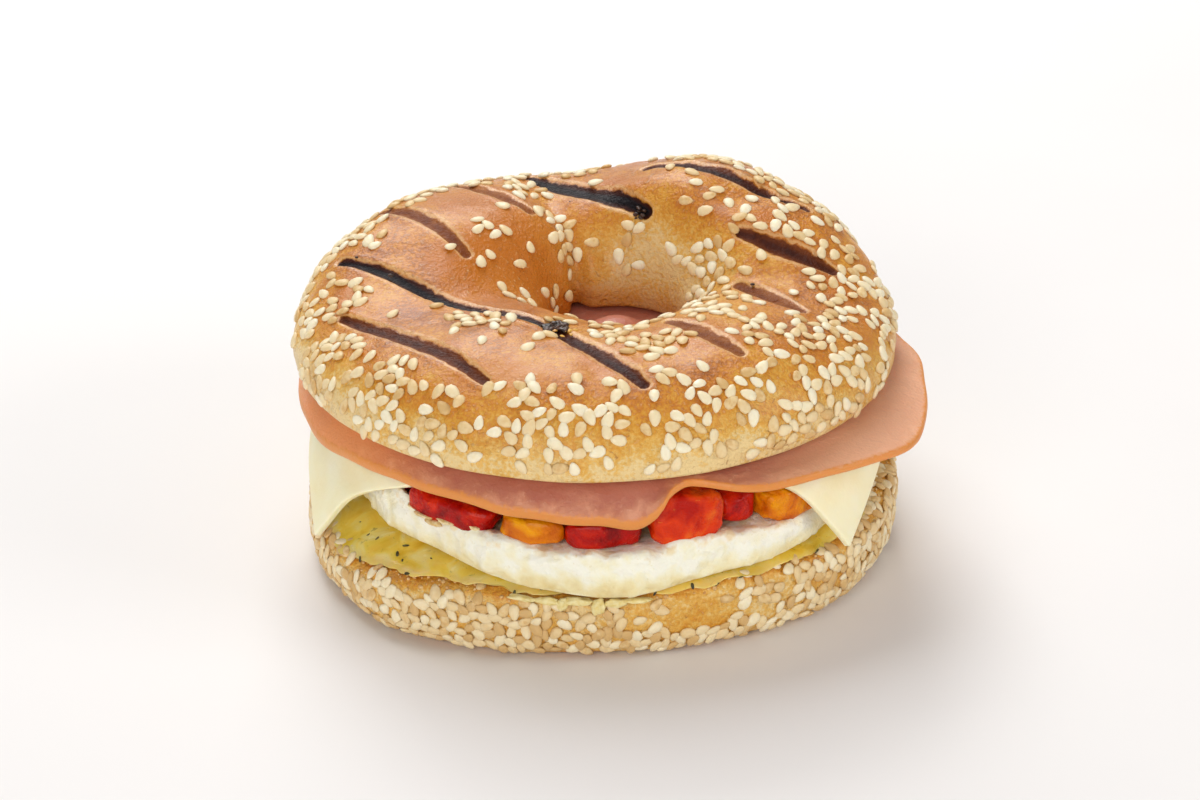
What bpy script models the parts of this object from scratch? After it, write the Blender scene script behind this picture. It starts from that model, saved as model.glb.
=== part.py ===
"""Toasted sesame bagel sandwich: ham, two cheese slices, an egg patty, roast peppers and a spread.

Every length below is in millimetres, and MM turns it into metres. Azimuths are degrees round
the hole: 0 is +X (right), 90 is +Y (back), 180 is left and 270 is the front.
"""
import math
import random

import bmesh
import bpy
from mathutils import Matrix, Vector

MM = 0.001
OBJECT_NAME = "bagel_sandwich"

# Where the hole's axis stands, so that the whole box is centred over the origin
AXIS_AT = (-2.21, -2.60)

# Bottom half
HEEL_REACHES = (
    (0, 56.4), (45, 55.6), (90, 55.4), (135, 55.0), (170, 54.0), (190, 54.6), (210, 56.0),
    (230, 56.2), (250, 53.4), (270, 51.2), (290, 51.2), (310, 53.3), (330, 55.3), (345, 55.9),
)
HEEL_HEIGHT = 14.4
HEEL_HOLE_R = 13.0
HEEL_EDGE_R = 6.5
HEEL_TOP_EDGE_R = 1.2
HEEL_SAG_START = 45.0
HEEL_SAGS = ((208, 28, 4.8), (270, 24, 1.2), (325, 22, 1.2))

# Top half
CUT_Z = 36.8
WIDEST_UP = 3.0
TUCK_DEPTH = 22.0
CROWN_REACH = 55.6
CREST_R = 31.2
THROAT_R = 13.0
THROAT_AT = (3.5, 5.8)
CREST_HEIGHTS = (
    (0, 13.8), (30, 22.0), (62, 24.2), (95, 17.6), (125, 19.0),
    (155, 19.6), (190, 13.6), (230, 16.2), (270, 15.5), (315, 16.4),
)
OUTER_FULLNESS = 0.75
INNER_FULLNESS = 0.8
HEIGHT_FULLNESS = 1.14

# The seam where the rolled dough was joined, down the back of the hole
SEAM_DEPTH = 2.6
SEAM_WIDTH = 8.0
SEAM_AT_CREST = 106.0
SEAM_AT_THROAT = 120.0

# Marks of the grill: start and end seen from above, from the hole's axis
GRILL_MARKS = (
    ((-47.0, 8.5), (7.5, -40.0)),
    ((-46.0, -9.5), (-20.5, -38.5)),
    ((-43.0, 30.0), (-25.5, 8.0)),
    ((-12.0, 42.0), (9.5, 22.0)),
    ((13.0, 33.5), (38.0, 22.0)),
    ((26.5, 11.0), (43.5, 6.0)),
    ((27.0, 0.5), (36.5, -9.5)),
    ((14.0, -20.0), (24.0, -30.5)),
)
GROOVE_TOOL_R = 1.8
GROOVE_DEPTH = 0.9

# Sheets laid over the filling: flat inside BEND_START, then bent down round the rim
BEND_START = 46.0
BEND_R = 4.5
DRAPE_Z = 29.4
DRAPE_Y = 2.0
FULL_HANG = 71.0
CHEESE_SIDE = 80.0
CHEESE_THICKNESS = 1.5
HAM_THICKNESS = 1.4
HAM_LIFT = 6.4
HAM_REACHES = (
    (0, 60.8), (10, 57.8), (30, 56.0), (60, 55.5), (90, 55.5), (125, 56.0), (155, 57.0),
    (180, 58.5), (205, 57.9), (225, 56.2), (240, 54.9), (262, 56.6), (277, 57.9), (289, 53.0),
    (300, 57.8), (315, 60.3), (330, 65.0), (347, 62.5),
)
HAM_FLARE_HANG = 14.0
HAM_FOLD_FROM = 277.0
HAM_FOLD_TO = 287.0
HAM_FLARE_END = 370.0
HAM_FLARE_FADE = 25.0
HAM_DOME_HEIGHT = 4.4
HAM_DOME_R = 10.5

# Egg patty, spread and peppers
EGG_REACH = 50.5
EGG_BOTTOM = 16.1
EGG_TOP = 22.6
EGG_LOBES = ((212, 24, -3.5), (270, 24, 2.0), (300, 20, 1.0))
EGG_DROOP = 2.4
EGG_DROOP_AT = 270.0
EGG_DROOP_WIDTH = 26.0
EGG_DROOP_START = 46.0
EGG_DROOP_RUN = 7.0
SPREAD_GAP = 0.3
SPREAD_THICKNESS = 0.9
SPREAD_INNER_R = 17.0
SPREAD_REACH = 51.5
SPREAD_LOBES = ((214, 24, 3.0), (272, 24, -1.3), (325, 20, 1.6))
SPREAD_LIP = 0.8
PEPPER_FULLNESS = 0.6

# Seeds
SEED_LENGTH = 3.1
SEED_WIDTH = 2.0
SEED_THICKNESS = 1.5
SEED_SINK = 0.15
SEED_SPACING = 4.3
CROWN_SEEDS = 72
HEEL_SEEDS = 40


def finish(name, colour, roughness):
    """A plain food material of one colour."""
    material = bpy.data.materials.new(name)
    material.use_nodes = True
    shader = material.node_tree.nodes["Principled BSDF"]
    shader.inputs["Base Color"].default_value = (*colour, 1.0)
    shader.inputs["Roughness"].default_value = roughness
    shader.inputs["Metallic"].default_value = 0.0
    return material


def clear_scene():
    for thing in list(bpy.data.objects):
        bpy.data.objects.remove(thing, do_unlink=True)


def collection(name):
    group = bpy.data.collections.new(name)
    bpy.context.scene.collection.children.link(group)
    return group


def adopt(body, group, material=None):
    """Move a new object into its collection and give it its material."""
    for owner in list(body.users_collection):
        owner.objects.unlink(body)
    group.objects.link(body)
    if material:
        body.data.materials.clear()
        body.data.materials.append(material)
    return body


def wrapped(angle):
    return (angle + 180.0) % 360.0 - 180.0


def bump(angle, centre, width):
    return math.exp(-((wrapped(angle - centre) / width) ** 2))


def lobes(azimuth, table):
    """The sum of the bumps in a table of (azimuth, width, how far out)."""
    return sum(out * bump(azimuth, centre, width) for centre, width, out in table)


def smooth(value):
    value = min(max(value, 0.0), 1.0)
    return value * value * (3.0 - 2.0 * value)


def round_table(angle, table):
    """A smooth closed curve through (azimuth, value) pairs."""
    angle %= 360.0
    count = len(table)
    last = max(index for index in range(count) if table[index][0] <= angle)

    def knot(index):
        turns, place = divmod(index, count)
        return table[place][0] + 360.0 * turns, table[place][1]

    (a0, v0), (a1, v1), (a2, v2), (a3, v3) = (knot(last + step) for step in (-1, 0, 1, 2))
    span = a2 - a1
    slope1 = (v2 - v0) / (a2 - a0) * span
    slope2 = (v3 - v1) / (a3 - a1) * span
    t = (angle - a1) / span
    return (
        (2 * t**3 - 3 * t**2 + 1) * v1
        + (t**3 - 2 * t**2 + t) * slope1
        + (3 * t**2 - 2 * t**3) * v2
        + (t**3 - t**2) * slope2
    )


def polar(radius, azimuth, height):
    angle = math.radians(azimuth)
    return Vector((radius * math.cos(angle), radius * math.sin(angle), height))


def ring_body(name, around, along, point):
    """A closed ring: a torus whose vertices move to point(azimuth, step along the section)."""
    bpy.ops.mesh.primitive_torus_add(major_segments=around, minor_segments=along)
    body = bpy.context.object
    body.name = name
    for index, vertex in enumerate(body.data.vertices):
        step_round, step_along = divmod(index, along)
        vertex.co = MM * point(360.0 * step_round / around, step_along)
    return body


def disc_body(name, around, rings, point):
    """A closed disc: a sphere whose rings of vertices move to point(azimuth, ring, side).

    Ring 0 is the middle of the disc and the last ring its rim; side is 1 on top, -1 below.
    """
    bpy.ops.mesh.primitive_uv_sphere_add(segments=around, ring_count=2 * rings, radius=1.0)
    body = bpy.context.object
    body.name = name
    for vertex in body.data.vertices:
        step = round(math.acos(max(-1.0, min(1.0, vertex.co.z))) / math.pi * 2 * rings)
        azimuth = math.degrees(math.atan2(vertex.co.y, vertex.co.x))
        side = 0 if step == rings else (1 if step < rings else -1)
        vertex.co = MM * point(azimuth, min(step, 2 * rings - step), side)
    return body


def boolean(body, group, operation):
    """Cut or join every object of a collection, then apply it and remove them."""
    modifier = body.modifiers.new(operation.title(), "BOOLEAN")
    modifier.operation = operation
    modifier.operand_type = "COLLECTION"
    modifier.collection = group
    modifier.solver = "EXACT"
    graph = bpy.context.evaluated_depsgraph_get()
    joined = bpy.data.meshes.new_from_object(body.evaluated_get(graph))
    body.modifiers.remove(modifier)
    body.data = joined
    for tool in list(group.objects):
        bpy.data.objects.remove(tool, do_unlink=True)


# The bottom half

HEEL_AROUND = 52
HEEL_ALONG = 12


def heel_reach(azimuth):
    return round_table(azimuth, HEEL_REACHES)


def heel_top(azimuth, radius):
    """Height of the cut face, which sags towards the rim where the bread is squashed."""
    share = (radius - HEEL_SAG_START) / (heel_reach(azimuth) - HEEL_SAG_START)
    return HEEL_HEIGHT - lobes(azimuth, HEEL_SAGS) * max(0.0, share)


def heel_point(azimuth, step):
    reach = heel_reach(azimuth)
    rim = reach - HEEL_TOP_EDGE_R
    top = heel_top(azimuth, rim)
    lean = HEEL_EDGE_R * 0.29
    section = (
        (reach, 0.55 * top),
        (reach - 0.3, top - HEEL_TOP_EDGE_R),
        (rim, top),
        (HEEL_SAG_START, HEEL_HEIGHT),
        (0.5 * (HEEL_SAG_START + HEEL_HOLE_R), HEEL_HEIGHT),
        (HEEL_HOLE_R, HEEL_HEIGHT),
        (HEEL_HOLE_R - 1.5, 0.5 * HEEL_HEIGHT),
        (HEEL_HOLE_R, 1.5),
        (HEEL_HOLE_R + 2.0, 0.0),
        (0.5 * (HEEL_HOLE_R + reach), 0.0),
        (reach - HEEL_EDGE_R, 0.0),
        (reach - lean, lean),
    )
    radius, height = section[step]
    return polar(radius, azimuth, height)


# The top half

CROWN_AROUND = 56
CROWN_CURVE_STEPS = 21
CROWN_FLAT_STEPS = 2
CUT_ANGLE = math.asin((WIDEST_UP / TUCK_DEPTH) ** (1.0 / HEIGHT_FULLNESS))


def crown_reach(azimuth):
    a = math.radians(azimuth)
    return (
        CROWN_REACH - 0.5 * math.cos(a) + 3.5 * math.sin(a)
        + 0.4 * math.cos(2 * a) + 0.4 * math.sin(2 * a)
    )


def seam_depth(azimuth, tilt):
    """How far the seam sinks below the crust; tilt runs from 0 outside to 180 in the throat."""
    down = smooth((tilt - 60.0) / 110.0)
    centre = SEAM_AT_CREST + (SEAM_AT_THROAT - SEAM_AT_CREST) * down
    return SEAM_DEPTH * bump(azimuth, centre, SEAM_WIDTH) * smooth((tilt - 60.0) / 40.0)


def crown_point(azimuth, tilt):
    """A point of the crust; tilt is the angle round the section, 0 at the outer side."""
    angle = math.radians(tilt)
    across, up = math.cos(angle), math.sin(angle)
    if across > 0:
        radius = CREST_R + (crown_reach(azimuth) - CREST_R) * across**OUTER_FULLNESS
    else:
        radius = CREST_R - (CREST_R - THROAT_R) * (-across) ** INNER_FULLNESS
    rise = round_table(azimuth, CREST_HEIGHTS) - WIDEST_UP if up > 0 else TUCK_DEPTH
    height = CUT_Z + WIDEST_UP + rise * math.copysign(abs(up) ** HEIGHT_FULLNESS, up)
    sunk = seam_depth(azimuth, tilt)
    point = polar(radius - sunk * across, azimuth, height - sunk * up)
    shift = smooth((0.3 - across) / 1.2)
    return point + shift * Vector((*THROAT_AT, 0.0))


def crown_section_point(azimuth, step):
    """The section's closed loop: over the crust from the rim to the throat, then the cut face."""
    start = -math.degrees(CUT_ANGLE)
    if step <= CROWN_CURVE_STEPS:
        return crown_point(azimuth, start + (180.0 - 2 * start) * step / CROWN_CURVE_STEPS)
    inner = crown_point(azimuth, 180.0 - start)
    outer = crown_point(azimuth, start)
    return inner.lerp(outer, (step - CROWN_CURVE_STEPS) / (CROWN_FLAT_STEPS + 1))


def surface_frame(surface, azimuth, tilt):
    """Place and outward normal of a crust at one azimuth and tilt."""
    here = surface(azimuth, tilt)
    round_way = surface(azimuth + 1.0, tilt) - surface(azimuth - 1.0, tilt)
    up_way = surface(azimuth, tilt + 1.0) - surface(azimuth, tilt - 1.0)
    return here, round_way.cross(up_way).normalized(), up_way.normalized()


def crown_top_at(x, y):
    """The crust's highest point above a place seen from above, by halving the tilt."""
    azimuth = math.degrees(math.atan2(y, x))
    low, high = 5.0, 175.0
    for _ in range(30):
        tilt = 0.5 * (low + high)
        point = crown_point(azimuth, tilt)
        azimuth += wrapped(math.degrees(math.atan2(y, x) - math.atan2(point.y, point.x)))
        if math.hypot(point.x, point.y) > math.hypot(x, y):
            low = tilt
        else:
            high = tilt
    return crown_point(azimuth, tilt)


def groove_tool(name, start, end, group):
    """A bent bar that follows the crust from start to end and cuts a shallow groove."""
    count = max(4, round((Vector(end) - Vector(start)).length / 5.0) + 1)
    path = bpy.data.curves.new(name, "CURVE")
    path.dimensions = "3D"
    path.bevel_depth = GROOVE_TOOL_R * MM
    path.bevel_resolution = 1
    path.use_fill_caps = True
    spline = path.splines.new("POLY")
    spline.points.add(count - 1)
    for index, point in enumerate(spline.points):
        share = index / (count - 1)
        x = start[0] + (end[0] - start[0]) * share
        y = start[1] + (end[1] - start[1]) * share
        place = crown_top_at(x, y) + Vector((0.0, 0.0, GROOVE_TOOL_R - GROOVE_DEPTH))
        point.co = (*(MM * place), 1.0)
        point.radius = 0.75 + 0.25 * math.sin(math.pi * share)
    bar = bpy.data.objects.new(name, path)
    group.objects.link(bar)
    graph = bpy.context.evaluated_depsgraph_get()
    mesh = bpy.data.meshes.new_from_object(bar.evaluated_get(graph))
    bpy.data.objects.remove(bar, do_unlink=True)
    shape = bmesh.new()
    shape.from_mesh(mesh)
    bmesh.ops.remove_doubles(shape, verts=shape.verts, dist=0.00005)
    bmesh.ops.recalc_face_normals(shape, faces=shape.faces)
    shape.to_mesh(mesh)
    shape.free()
    tool = bpy.data.objects.new(name, mesh)
    tool.hide_render = True
    tool.display_type = "WIRE"
    group.objects.link(tool)


# Seeds


def heel_side(azimuth, tilt):
    """The bottom half's outer wall; tilt 0 is its widest line and -90 its underside."""
    reach = heel_reach(azimuth)
    widest = 0.55 * heel_top(azimuth, reach - HEEL_TOP_EDGE_R)
    angle = math.radians(tilt)
    if tilt >= 0:
        return polar(reach, azimuth, widest + HEEL_EDGE_R * math.sin(angle))
    return polar(reach - HEEL_EDGE_R * (1 - math.cos(angle)), azimuth, widest * (1 + math.sin(angle)))


def add_seed(name, place, normal, along, group):
    """One teardrop seed lying on the crust."""
    shape = bmesh.new()
    bmesh.ops.create_uvsphere(shape, u_segments=5, v_segments=4, radius=1.0)
    across = normal.cross(along).normalized()
    along = across.cross(normal).normalized()
    turn = Matrix((along, across, normal)).transposed()
    for vertex in shape.verts:
        x, y, z = vertex.co.zyx
        narrow = 1.0 - 0.35 * x
        local = Vector((0.5 * SEED_LENGTH * x, 0.5 * SEED_WIDTH * y * narrow, 0.5 * SEED_THICKNESS * z))
        vertex.co = MM * (place + turn @ local)
    bmesh.ops.recalc_face_normals(shape, faces=shape.faces)
    mesh = bpy.data.meshes.new(name)
    shape.to_mesh(mesh)
    shape.free()
    group.objects.link(bpy.data.objects.new(name, mesh))


def scatter_seeds(surface, count, tilts, group, rng):
    """Seeds spread evenly over the crust between two tilts, none closer than SEED_SPACING."""
    places = []
    while len(places) < count:
        azimuth = rng.uniform(0.0, 360.0)
        tilt = rng.choice(tilts)
        tilt = rng.uniform(tilt[0], tilt[1])
        place, normal, along = surface_frame(surface, azimuth, tilt)
        if any((place - other).length < SEED_SPACING for other in places):
            continue
        places.append(place)
        along = Matrix.Rotation(rng.uniform(0.0, math.tau), 3, normal) @ along
        add_seed(f"seed_{len(places)}", place - SEED_SINK * normal, normal, along, group)


# Sheets


def draped(x, y, lift, hang):
    """Where a point of a flat sheet comes to lie once the sheet is laid over the filling."""
    reach = math.hypot(x, y)
    if reach <= BEND_START:
        return Vector((x, DRAPE_Y + y, DRAPE_Z + lift))
    radius = BEND_R + lift
    arc = reach - BEND_START
    turn = min(arc / radius, math.radians(hang))
    straight = arc - turn * radius
    out = BEND_START + radius * math.sin(turn) + straight * math.cos(turn)
    drop = radius * (1.0 - math.cos(turn)) + straight * math.sin(turn)
    return Vector((x / reach * out, DRAPE_Y + y / reach * out, DRAPE_Z + lift - drop))


def ham_hang(azimuth):
    """How far the ham turns down: fully at the left and front, hardly where it flares right."""
    azimuth %= 360.0
    if azimuth < 180.0:
        azimuth += 360.0
    folded = smooth((azimuth - HAM_FOLD_FROM) / (HAM_FOLD_TO - HAM_FOLD_FROM))
    flare_over = smooth((azimuth - HAM_FLARE_END) / HAM_FLARE_FADE)
    return FULL_HANG + (HAM_FLARE_HANG - FULL_HANG) * (folded - flare_over * folded)


HAM_RINGS = (0.0, 0.09, 0.18, 0.5, 0.8, 0.87, 0.94, 1.0)


def ham_point(azimuth, ring, side):
    reach = HAM_RINGS[ring] * round_table(azimuth, HAM_REACHES)
    throat = Vector((THROAT_AT[0], THROAT_AT[1] - DRAPE_Y, 0.0))
    flat = polar(reach, azimuth, 0.0) + (1.0 - smooth(HAM_RINGS[ring])) * throat
    lift = HAM_LIFT + 0.5 * side * HAM_THICKNESS
    off_centre = (flat - throat).length / HAM_DOME_R
    dome = HAM_DOME_HEIGHT * max(0.0, 1.0 - off_centre**2) ** 2
    return draped(flat.x, flat.y, lift, ham_hang(azimuth)) + Vector((0.0, 0.0, dome))


def cheese_slice(name, corner, turned, lift, toward):
    """A square slice with one front corner given; toward is 1 if it runs right of that corner."""
    shape = bmesh.new()
    bmesh.ops.create_grid(shape, x_segments=11, y_segments=11, size=0.5 * CHEESE_SIDE)
    turn = Matrix.Rotation(math.radians(turned), 3, "Z")
    middle = Vector((*corner, 0.0)) + turn @ Vector((0.5 * toward * CHEESE_SIDE, 0.5 * CHEESE_SIDE, 0.0))
    for vertex in shape.verts:
        flat = middle + turn @ vertex.co
        vertex.co = MM * draped(flat.x, flat.y, lift, FULL_HANG)
    mesh = bpy.data.meshes.new(name)
    shape.to_mesh(mesh)
    shape.free()
    body = bpy.data.objects.new(name, mesh)
    thicken = body.modifiers.new("Thickness", "SOLIDIFY")
    thicken.thickness = CHEESE_THICKNESS * MM
    thicken.offset = 0.0
    return body


# Egg, spread and peppers

# Distance from the middle and height above mid-thickness, as shares, from the middle to the rim
EGG_SECTION = ((0.0, 1.0), (0.5, 1.0), (0.87, 1.0), (0.94, 0.97), (0.985, 0.75), (1.0, 0.1))


def egg_reach(azimuth):
    a = math.radians(azimuth)
    ruffle = 0.6 * math.sin(7 * a + 0.4) + 0.4 * math.sin(12 * a)
    return EGG_REACH + ruffle + lobes(azimuth, EGG_LOBES)


def egg_point(azimuth, ring, side):
    out, up = EGG_SECTION[ring]
    half = 0.5 * (EGG_TOP - EGG_BOTTOM)
    radius = out * egg_reach(azimuth)
    droop = EGG_DROOP * bump(azimuth, EGG_DROOP_AT, EGG_DROOP_WIDTH)
    droop *= smooth((radius - EGG_DROOP_START) / EGG_DROOP_RUN)
    return polar(radius, azimuth, EGG_BOTTOM + half + side * up * half - droop)


SPREAD_RADII = 3


def spread_reach(azimuth):
    a = math.radians(azimuth)
    drips = 0.4 * math.sin(9 * a) + 0.3 * math.sin(14 * a + 1.0)
    return SPREAD_REACH + drips + lobes(azimuth, SPREAD_LOBES)


def spread_point(azimuth, step):
    """The spread's section: its outer lip, then over the top inwards and back underneath."""
    reach = spread_reach(azimuth)
    if step == 0:
        return polar(reach, azimuth, heel_top(azimuth, reach) + SPREAD_GAP + 0.5 * SPREAD_THICKNESS)
    on_top = step <= SPREAD_RADII
    inwards = (reach - SPREAD_LIP, HEEL_SAG_START, SPREAD_INNER_R)
    radius = inwards[step - 1] if on_top else inwards[2 * SPREAD_RADII - step]
    height = heel_top(azimuth, radius) + SPREAD_GAP + (SPREAD_THICKNESS if on_top else 0.0)
    return polar(radius, azimuth, height)


# Name, first and last azimuth, distance from the axis, height, depth, thickness, roll
PEPPERS = (
    ("pepper_red_left", 226, 248, 43.0, 25.9, 14, 5.6, 4),
    ("pepper_yellow_middle", 250, 263, 43.8, 25.8, 13, 4.8, 4),
    ("pepper_red_middle", 265, 278, 44.3, 25.8, 13, 5.0, 4),
    ("pepper_red_standing", 283, 296, 47.3, 27.6, 6.4, 9.2, 0),
    ("pepper_dark_red", 298, 306, 40.0, 26.2, 14, 5.8, 0),
    ("pepper_yellow_right", 308, 324, 42.5, 26.0, 13, 5.6, 4),
    ("pepper_red_right", 328, 360, 38.5, 26.2, 15, 6.0, 0),
    ("pepper_yellow_back_right", 4, 34, 38.0, 26.2, 16, 6.0, 3),
    ("pepper_red_back", 38, 80, 38.0, 26.2, 16, 6.0, -3),
    ("pepper_yellow_back", 84, 116, 38.5, 26.2, 15, 6.0, 2),
    ("pepper_red_back_left", 120, 162, 38.0, 26.2, 16, 6.0, -2),
    ("pepper_yellow_left", 166, 196, 38.0, 26.2, 15, 6.0, 3),
    ("pepper_red_side", 199, 223, 38.5, 26.2, 15, 6.0, 3),
)


def pepper(name, start, end, distance, height, depth, thickness, roll):
    """A soft strip of roast pepper, rounded at its edges and bent along the ring."""
    bpy.ops.mesh.primitive_uv_sphere_add(segments=10, ring_count=6, radius=1.0)
    body = bpy.context.object
    body.name = name
    half_span = 0.5 * (end - start)
    lean = Matrix.Rotation(math.radians(roll), 3, "X")
    for vertex in body.data.vertices:
        x, y, z = (math.copysign(abs(value) ** PEPPER_FULLNESS, value) for value in vertex.co)
        local = lean @ Vector((0.0, 0.5 * depth * y, 0.5 * thickness * z))
        azimuth = 0.5 * (start + end) + half_span * x
        vertex.co = MM * polar(distance - local.y, azimuth, height + local.z)
    return body


def build():
    clear_scene()
    parts = collection(OBJECT_NAME)
    tools = collection("cutters")
    seeds = collection("seeds")
    rng = random.Random(11)

    crust = finish("toasted_crust", (0.62, 0.33, 0.13), 0.45)
    ham_pink = finish("ham", (0.60, 0.26, 0.19), 0.4)
    cheese_cream = finish("cheese", (0.89, 0.76, 0.47), 0.4)
    egg_white = finish("egg_white", (0.90, 0.86, 0.72), 0.45)
    spread_green = finish("herb_spread", (0.68, 0.52, 0.13), 0.35)
    pepper_red = finish("pepper_red", (0.50, 0.02, 0.01), 0.2)
    pepper_yellow = finish("pepper_yellow", (0.75, 0.30, 0.01), 0.25)

    crown = ring_body(
        "bagel_top", CROWN_AROUND, CROWN_CURVE_STEPS + CROWN_FLAT_STEPS + 1, crown_section_point
    )
    adopt(crown, parts, crust)
    for number, (start, end) in enumerate(GRILL_MARKS):
        groove_tool(f"groove_{number}", start, end, tools)
    boolean(crown, tools, "DIFFERENCE")
    crown_tilts = ((4.0, 55.0), (4.0, 55.0), (4.0, 55.0), (105.0, 165.0))
    scatter_seeds(crown_point, CROWN_SEEDS, crown_tilts, seeds, rng)
    boolean(crown, seeds, "UNION")

    heel = ring_body("bagel_bottom", HEEL_AROUND, HEEL_ALONG, heel_point)
    adopt(heel, parts, crust)
    scatter_seeds(heel_side, HEEL_SEEDS, ((-55.0, 30.0),), seeds, rng)
    boolean(heel, seeds, "UNION")

    adopt(disc_body("ham_slice", 48, len(HAM_RINGS) - 1, ham_point), parts, ham_pink)
    left_slice = cheese_slice("cheese_slice_left", (-63.7, -30.7), -9.0, 1.4, 1)
    right_slice = cheese_slice("cheese_slice_right", (53.9, -44.2), -7.0, 3.9, -1)
    for slab in (left_slice, right_slice):
        adopt(slab, parts, cheese_cream)
    adopt(disc_body("egg_patty", 40, len(EGG_SECTION) - 1, egg_point), parts, egg_white)
    spread = ring_body("herb_spread", HEEL_AROUND, 2 * SPREAD_RADII + 1, spread_point)
    adopt(spread, parts, spread_green)
    for piece in PEPPERS:
        material = pepper_yellow if "yellow" in piece[0] else pepper_red
        adopt(pepper(*piece), parts, material)

    for body in parts.objects:
        body.location = (AXIS_AT[0] * MM, AXIS_AT[1] * MM, 0.0)
        body.data.shade_smooth()
    for empty_group in (tools, seeds):
        bpy.data.collections.remove(empty_group)


build()
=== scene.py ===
"""Looks of the toasted sesame bagel sandwich: crusts, seeds, ham, cheese, egg, peppers and spread.

Lengths are in millimetres, and MM turns them into metres; only the lights and the floor are given
in metres. Azimuths are degrees round the hole: 0 is +X (right), 90 is +Y (back), 180 is left and
270 is the front. Shapes are worked out round the hole's axis, and AXIS_AT then moves them to
where that axis stands.
"""

import math
import random

import bmesh
import bpy
from mathutils import Matrix, Vector, noise


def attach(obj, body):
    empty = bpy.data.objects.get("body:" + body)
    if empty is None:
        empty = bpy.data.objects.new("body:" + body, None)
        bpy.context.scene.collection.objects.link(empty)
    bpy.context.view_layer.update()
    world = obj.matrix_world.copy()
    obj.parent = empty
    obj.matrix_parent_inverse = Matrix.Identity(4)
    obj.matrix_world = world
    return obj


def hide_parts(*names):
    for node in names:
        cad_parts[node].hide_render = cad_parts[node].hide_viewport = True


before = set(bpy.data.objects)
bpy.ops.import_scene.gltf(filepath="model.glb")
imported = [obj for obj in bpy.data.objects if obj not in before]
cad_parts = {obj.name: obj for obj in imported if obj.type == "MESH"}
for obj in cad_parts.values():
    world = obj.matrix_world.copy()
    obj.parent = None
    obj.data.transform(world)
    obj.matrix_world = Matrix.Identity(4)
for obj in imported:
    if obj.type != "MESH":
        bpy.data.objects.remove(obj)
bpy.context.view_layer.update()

MM = 0.001
AXIS_AT = Vector((-2.21, -2.60, 0.0))

# Camera, measured from the hole's axis
CAMERA_ELEVATION = 27.3
CAMERA_DISTANCE = 700.0
CAMERA_AIM = (0.0, 0.0, 30.0)
CAMERA_SLIDE = (0.37, -2.86)
CAMERA_LENS = 112.35

# Bottom half
HEEL_REACHES = (
    (0, 56.4), (45, 55.6), (90, 55.4), (135, 55.0), (170, 54.0), (190, 54.6), (210, 56.0),
    (230, 56.2), (250, 53.4), (270, 51.2), (290, 51.2), (310, 53.3), (330, 55.3), (345, 55.9),
)
HEEL_HEIGHT = 14.4
HEEL_HOLE_R = 13.0
HEEL_EDGE_R = 6.5
HEEL_TOP_EDGE_R = 1.2
HEEL_SAG_START = 45.0
HEEL_SAGS = ((208, 28, 4.8), (270, 24, 1.2), (325, 22, 1.2))

# Top half
CUT_Z = 36.8
WIDEST_UP = 3.0
TUCK_DEPTH = 22.0
CROWN_REACH = 55.6
CREST_R = 31.2
THROAT_R = 13.0
THROAT_AT = (3.5, 5.8)
CREST_HEIGHTS = (
    (0, 13.8), (30, 22.0), (62, 24.2), (95, 17.6), (125, 19.0),
    (155, 19.6), (190, 13.6), (230, 16.2), (270, 15.5), (315, 16.4),
)
OUTER_FULLNESS = 0.75
INNER_FULLNESS = 0.8
HEIGHT_FULLNESS = 1.14
CUT_EDGE_R = 0.6

# The seam where the rolled dough was joined, and a fold beside it
SEAM_DEPTH = 2.6
SEAM_WIDTH = 7.0
SEAM_AT_CREST = 106.0
SEAM_AT_THROAT = 120.0
FOLD_AT = 38.0
FOLD_WIDTH = 7.0
FOLD_DEPTH = 1.3
FOLD_TILT = 78.0
FOLD_LENGTH = 24.0

# Marks of the grill: start and end seen from above, half width, how black
GRILL_MARKS = (
    ((-48.0, 9.5), (-8.4, -21.2), 1.8, 1.0),
    ((-9.5, -20.0), (8.0, -41.0), 2.0, 0.74),
    ((-46.5, -9.0), (-20.0, -39.0), 1.9, 0.6),
    ((-44.0, 31.0), (-24.5, 7.0), 1.8, 0.3),
    ((-13.5, 44.0), (9.0, 23.0), 2.5, 1.0),
    ((9.5, 35.5), (39.0, 21.5), 2.2, 0.8),
    ((26.5, 11.5), (43.5, 6.0), 2.2, 0.64),
    ((26.0, 1.5), (37.0, -10.0), 2.1, 0.3),
    ((13.0, -19.0), (25.0, -31.5), 2.0, 0.25),
    ((-27.0, 37.0), (-13.0, 23.0), 1.8, 0.2),
)
GROOVE_DEPTH = 0.7
MARK_STEPS = 6
MARK_REACH = 3.0
MARK_TIP = 0.04
MARK_TIP_WIDTH = 0.45
MARK_LIP = 0.14
CRUST_LUMPS = ((0.5, 13.0, 0.0), (0.22, 5.0, 7.0), (0.09, 2.2, 3.0))

# Sheets laid over the filling: flat inside BEND_START, then bent down round the rim
BEND_START = 46.0
BEND_R = 4.5
DRAPE_Z = 29.4
DRAPE_Y = 2.0
FULL_HANG = 71.0
CHEESE_SIDE = 80.0
CHEESE_THICKNESS = 1.5
CHEESE_EDGE_R = 0.35
HAM_THICKNESS = 1.4
HAM_LIFT = 6.4
HAM_REACHES = (
    (0, 60.5), (10, 57.8), (30, 56.0), (60, 55.5), (90, 55.5), (125, 56.0), (155, 57.0),
    (180, 58.5), (204, 58.0), (225, 56.4), (240, 55.8), (252, 57.0), (262, 57.3), (270, 57.2),
    (277, 58.4), (281, 56.8), (284, 54.4), (288, 52.8), (296, 56.6), (306, 59.0), (315, 60.6),
    (330, 64.8), (347, 62.3),
)
HAM_FLARE_HANG = 9.0
HAM_FOLD_FROM = 278.0
HAM_FOLD_TO = 284.0
HAM_FLARE_END = 370.0
HAM_FLARE_FADE = 25.0
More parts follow.
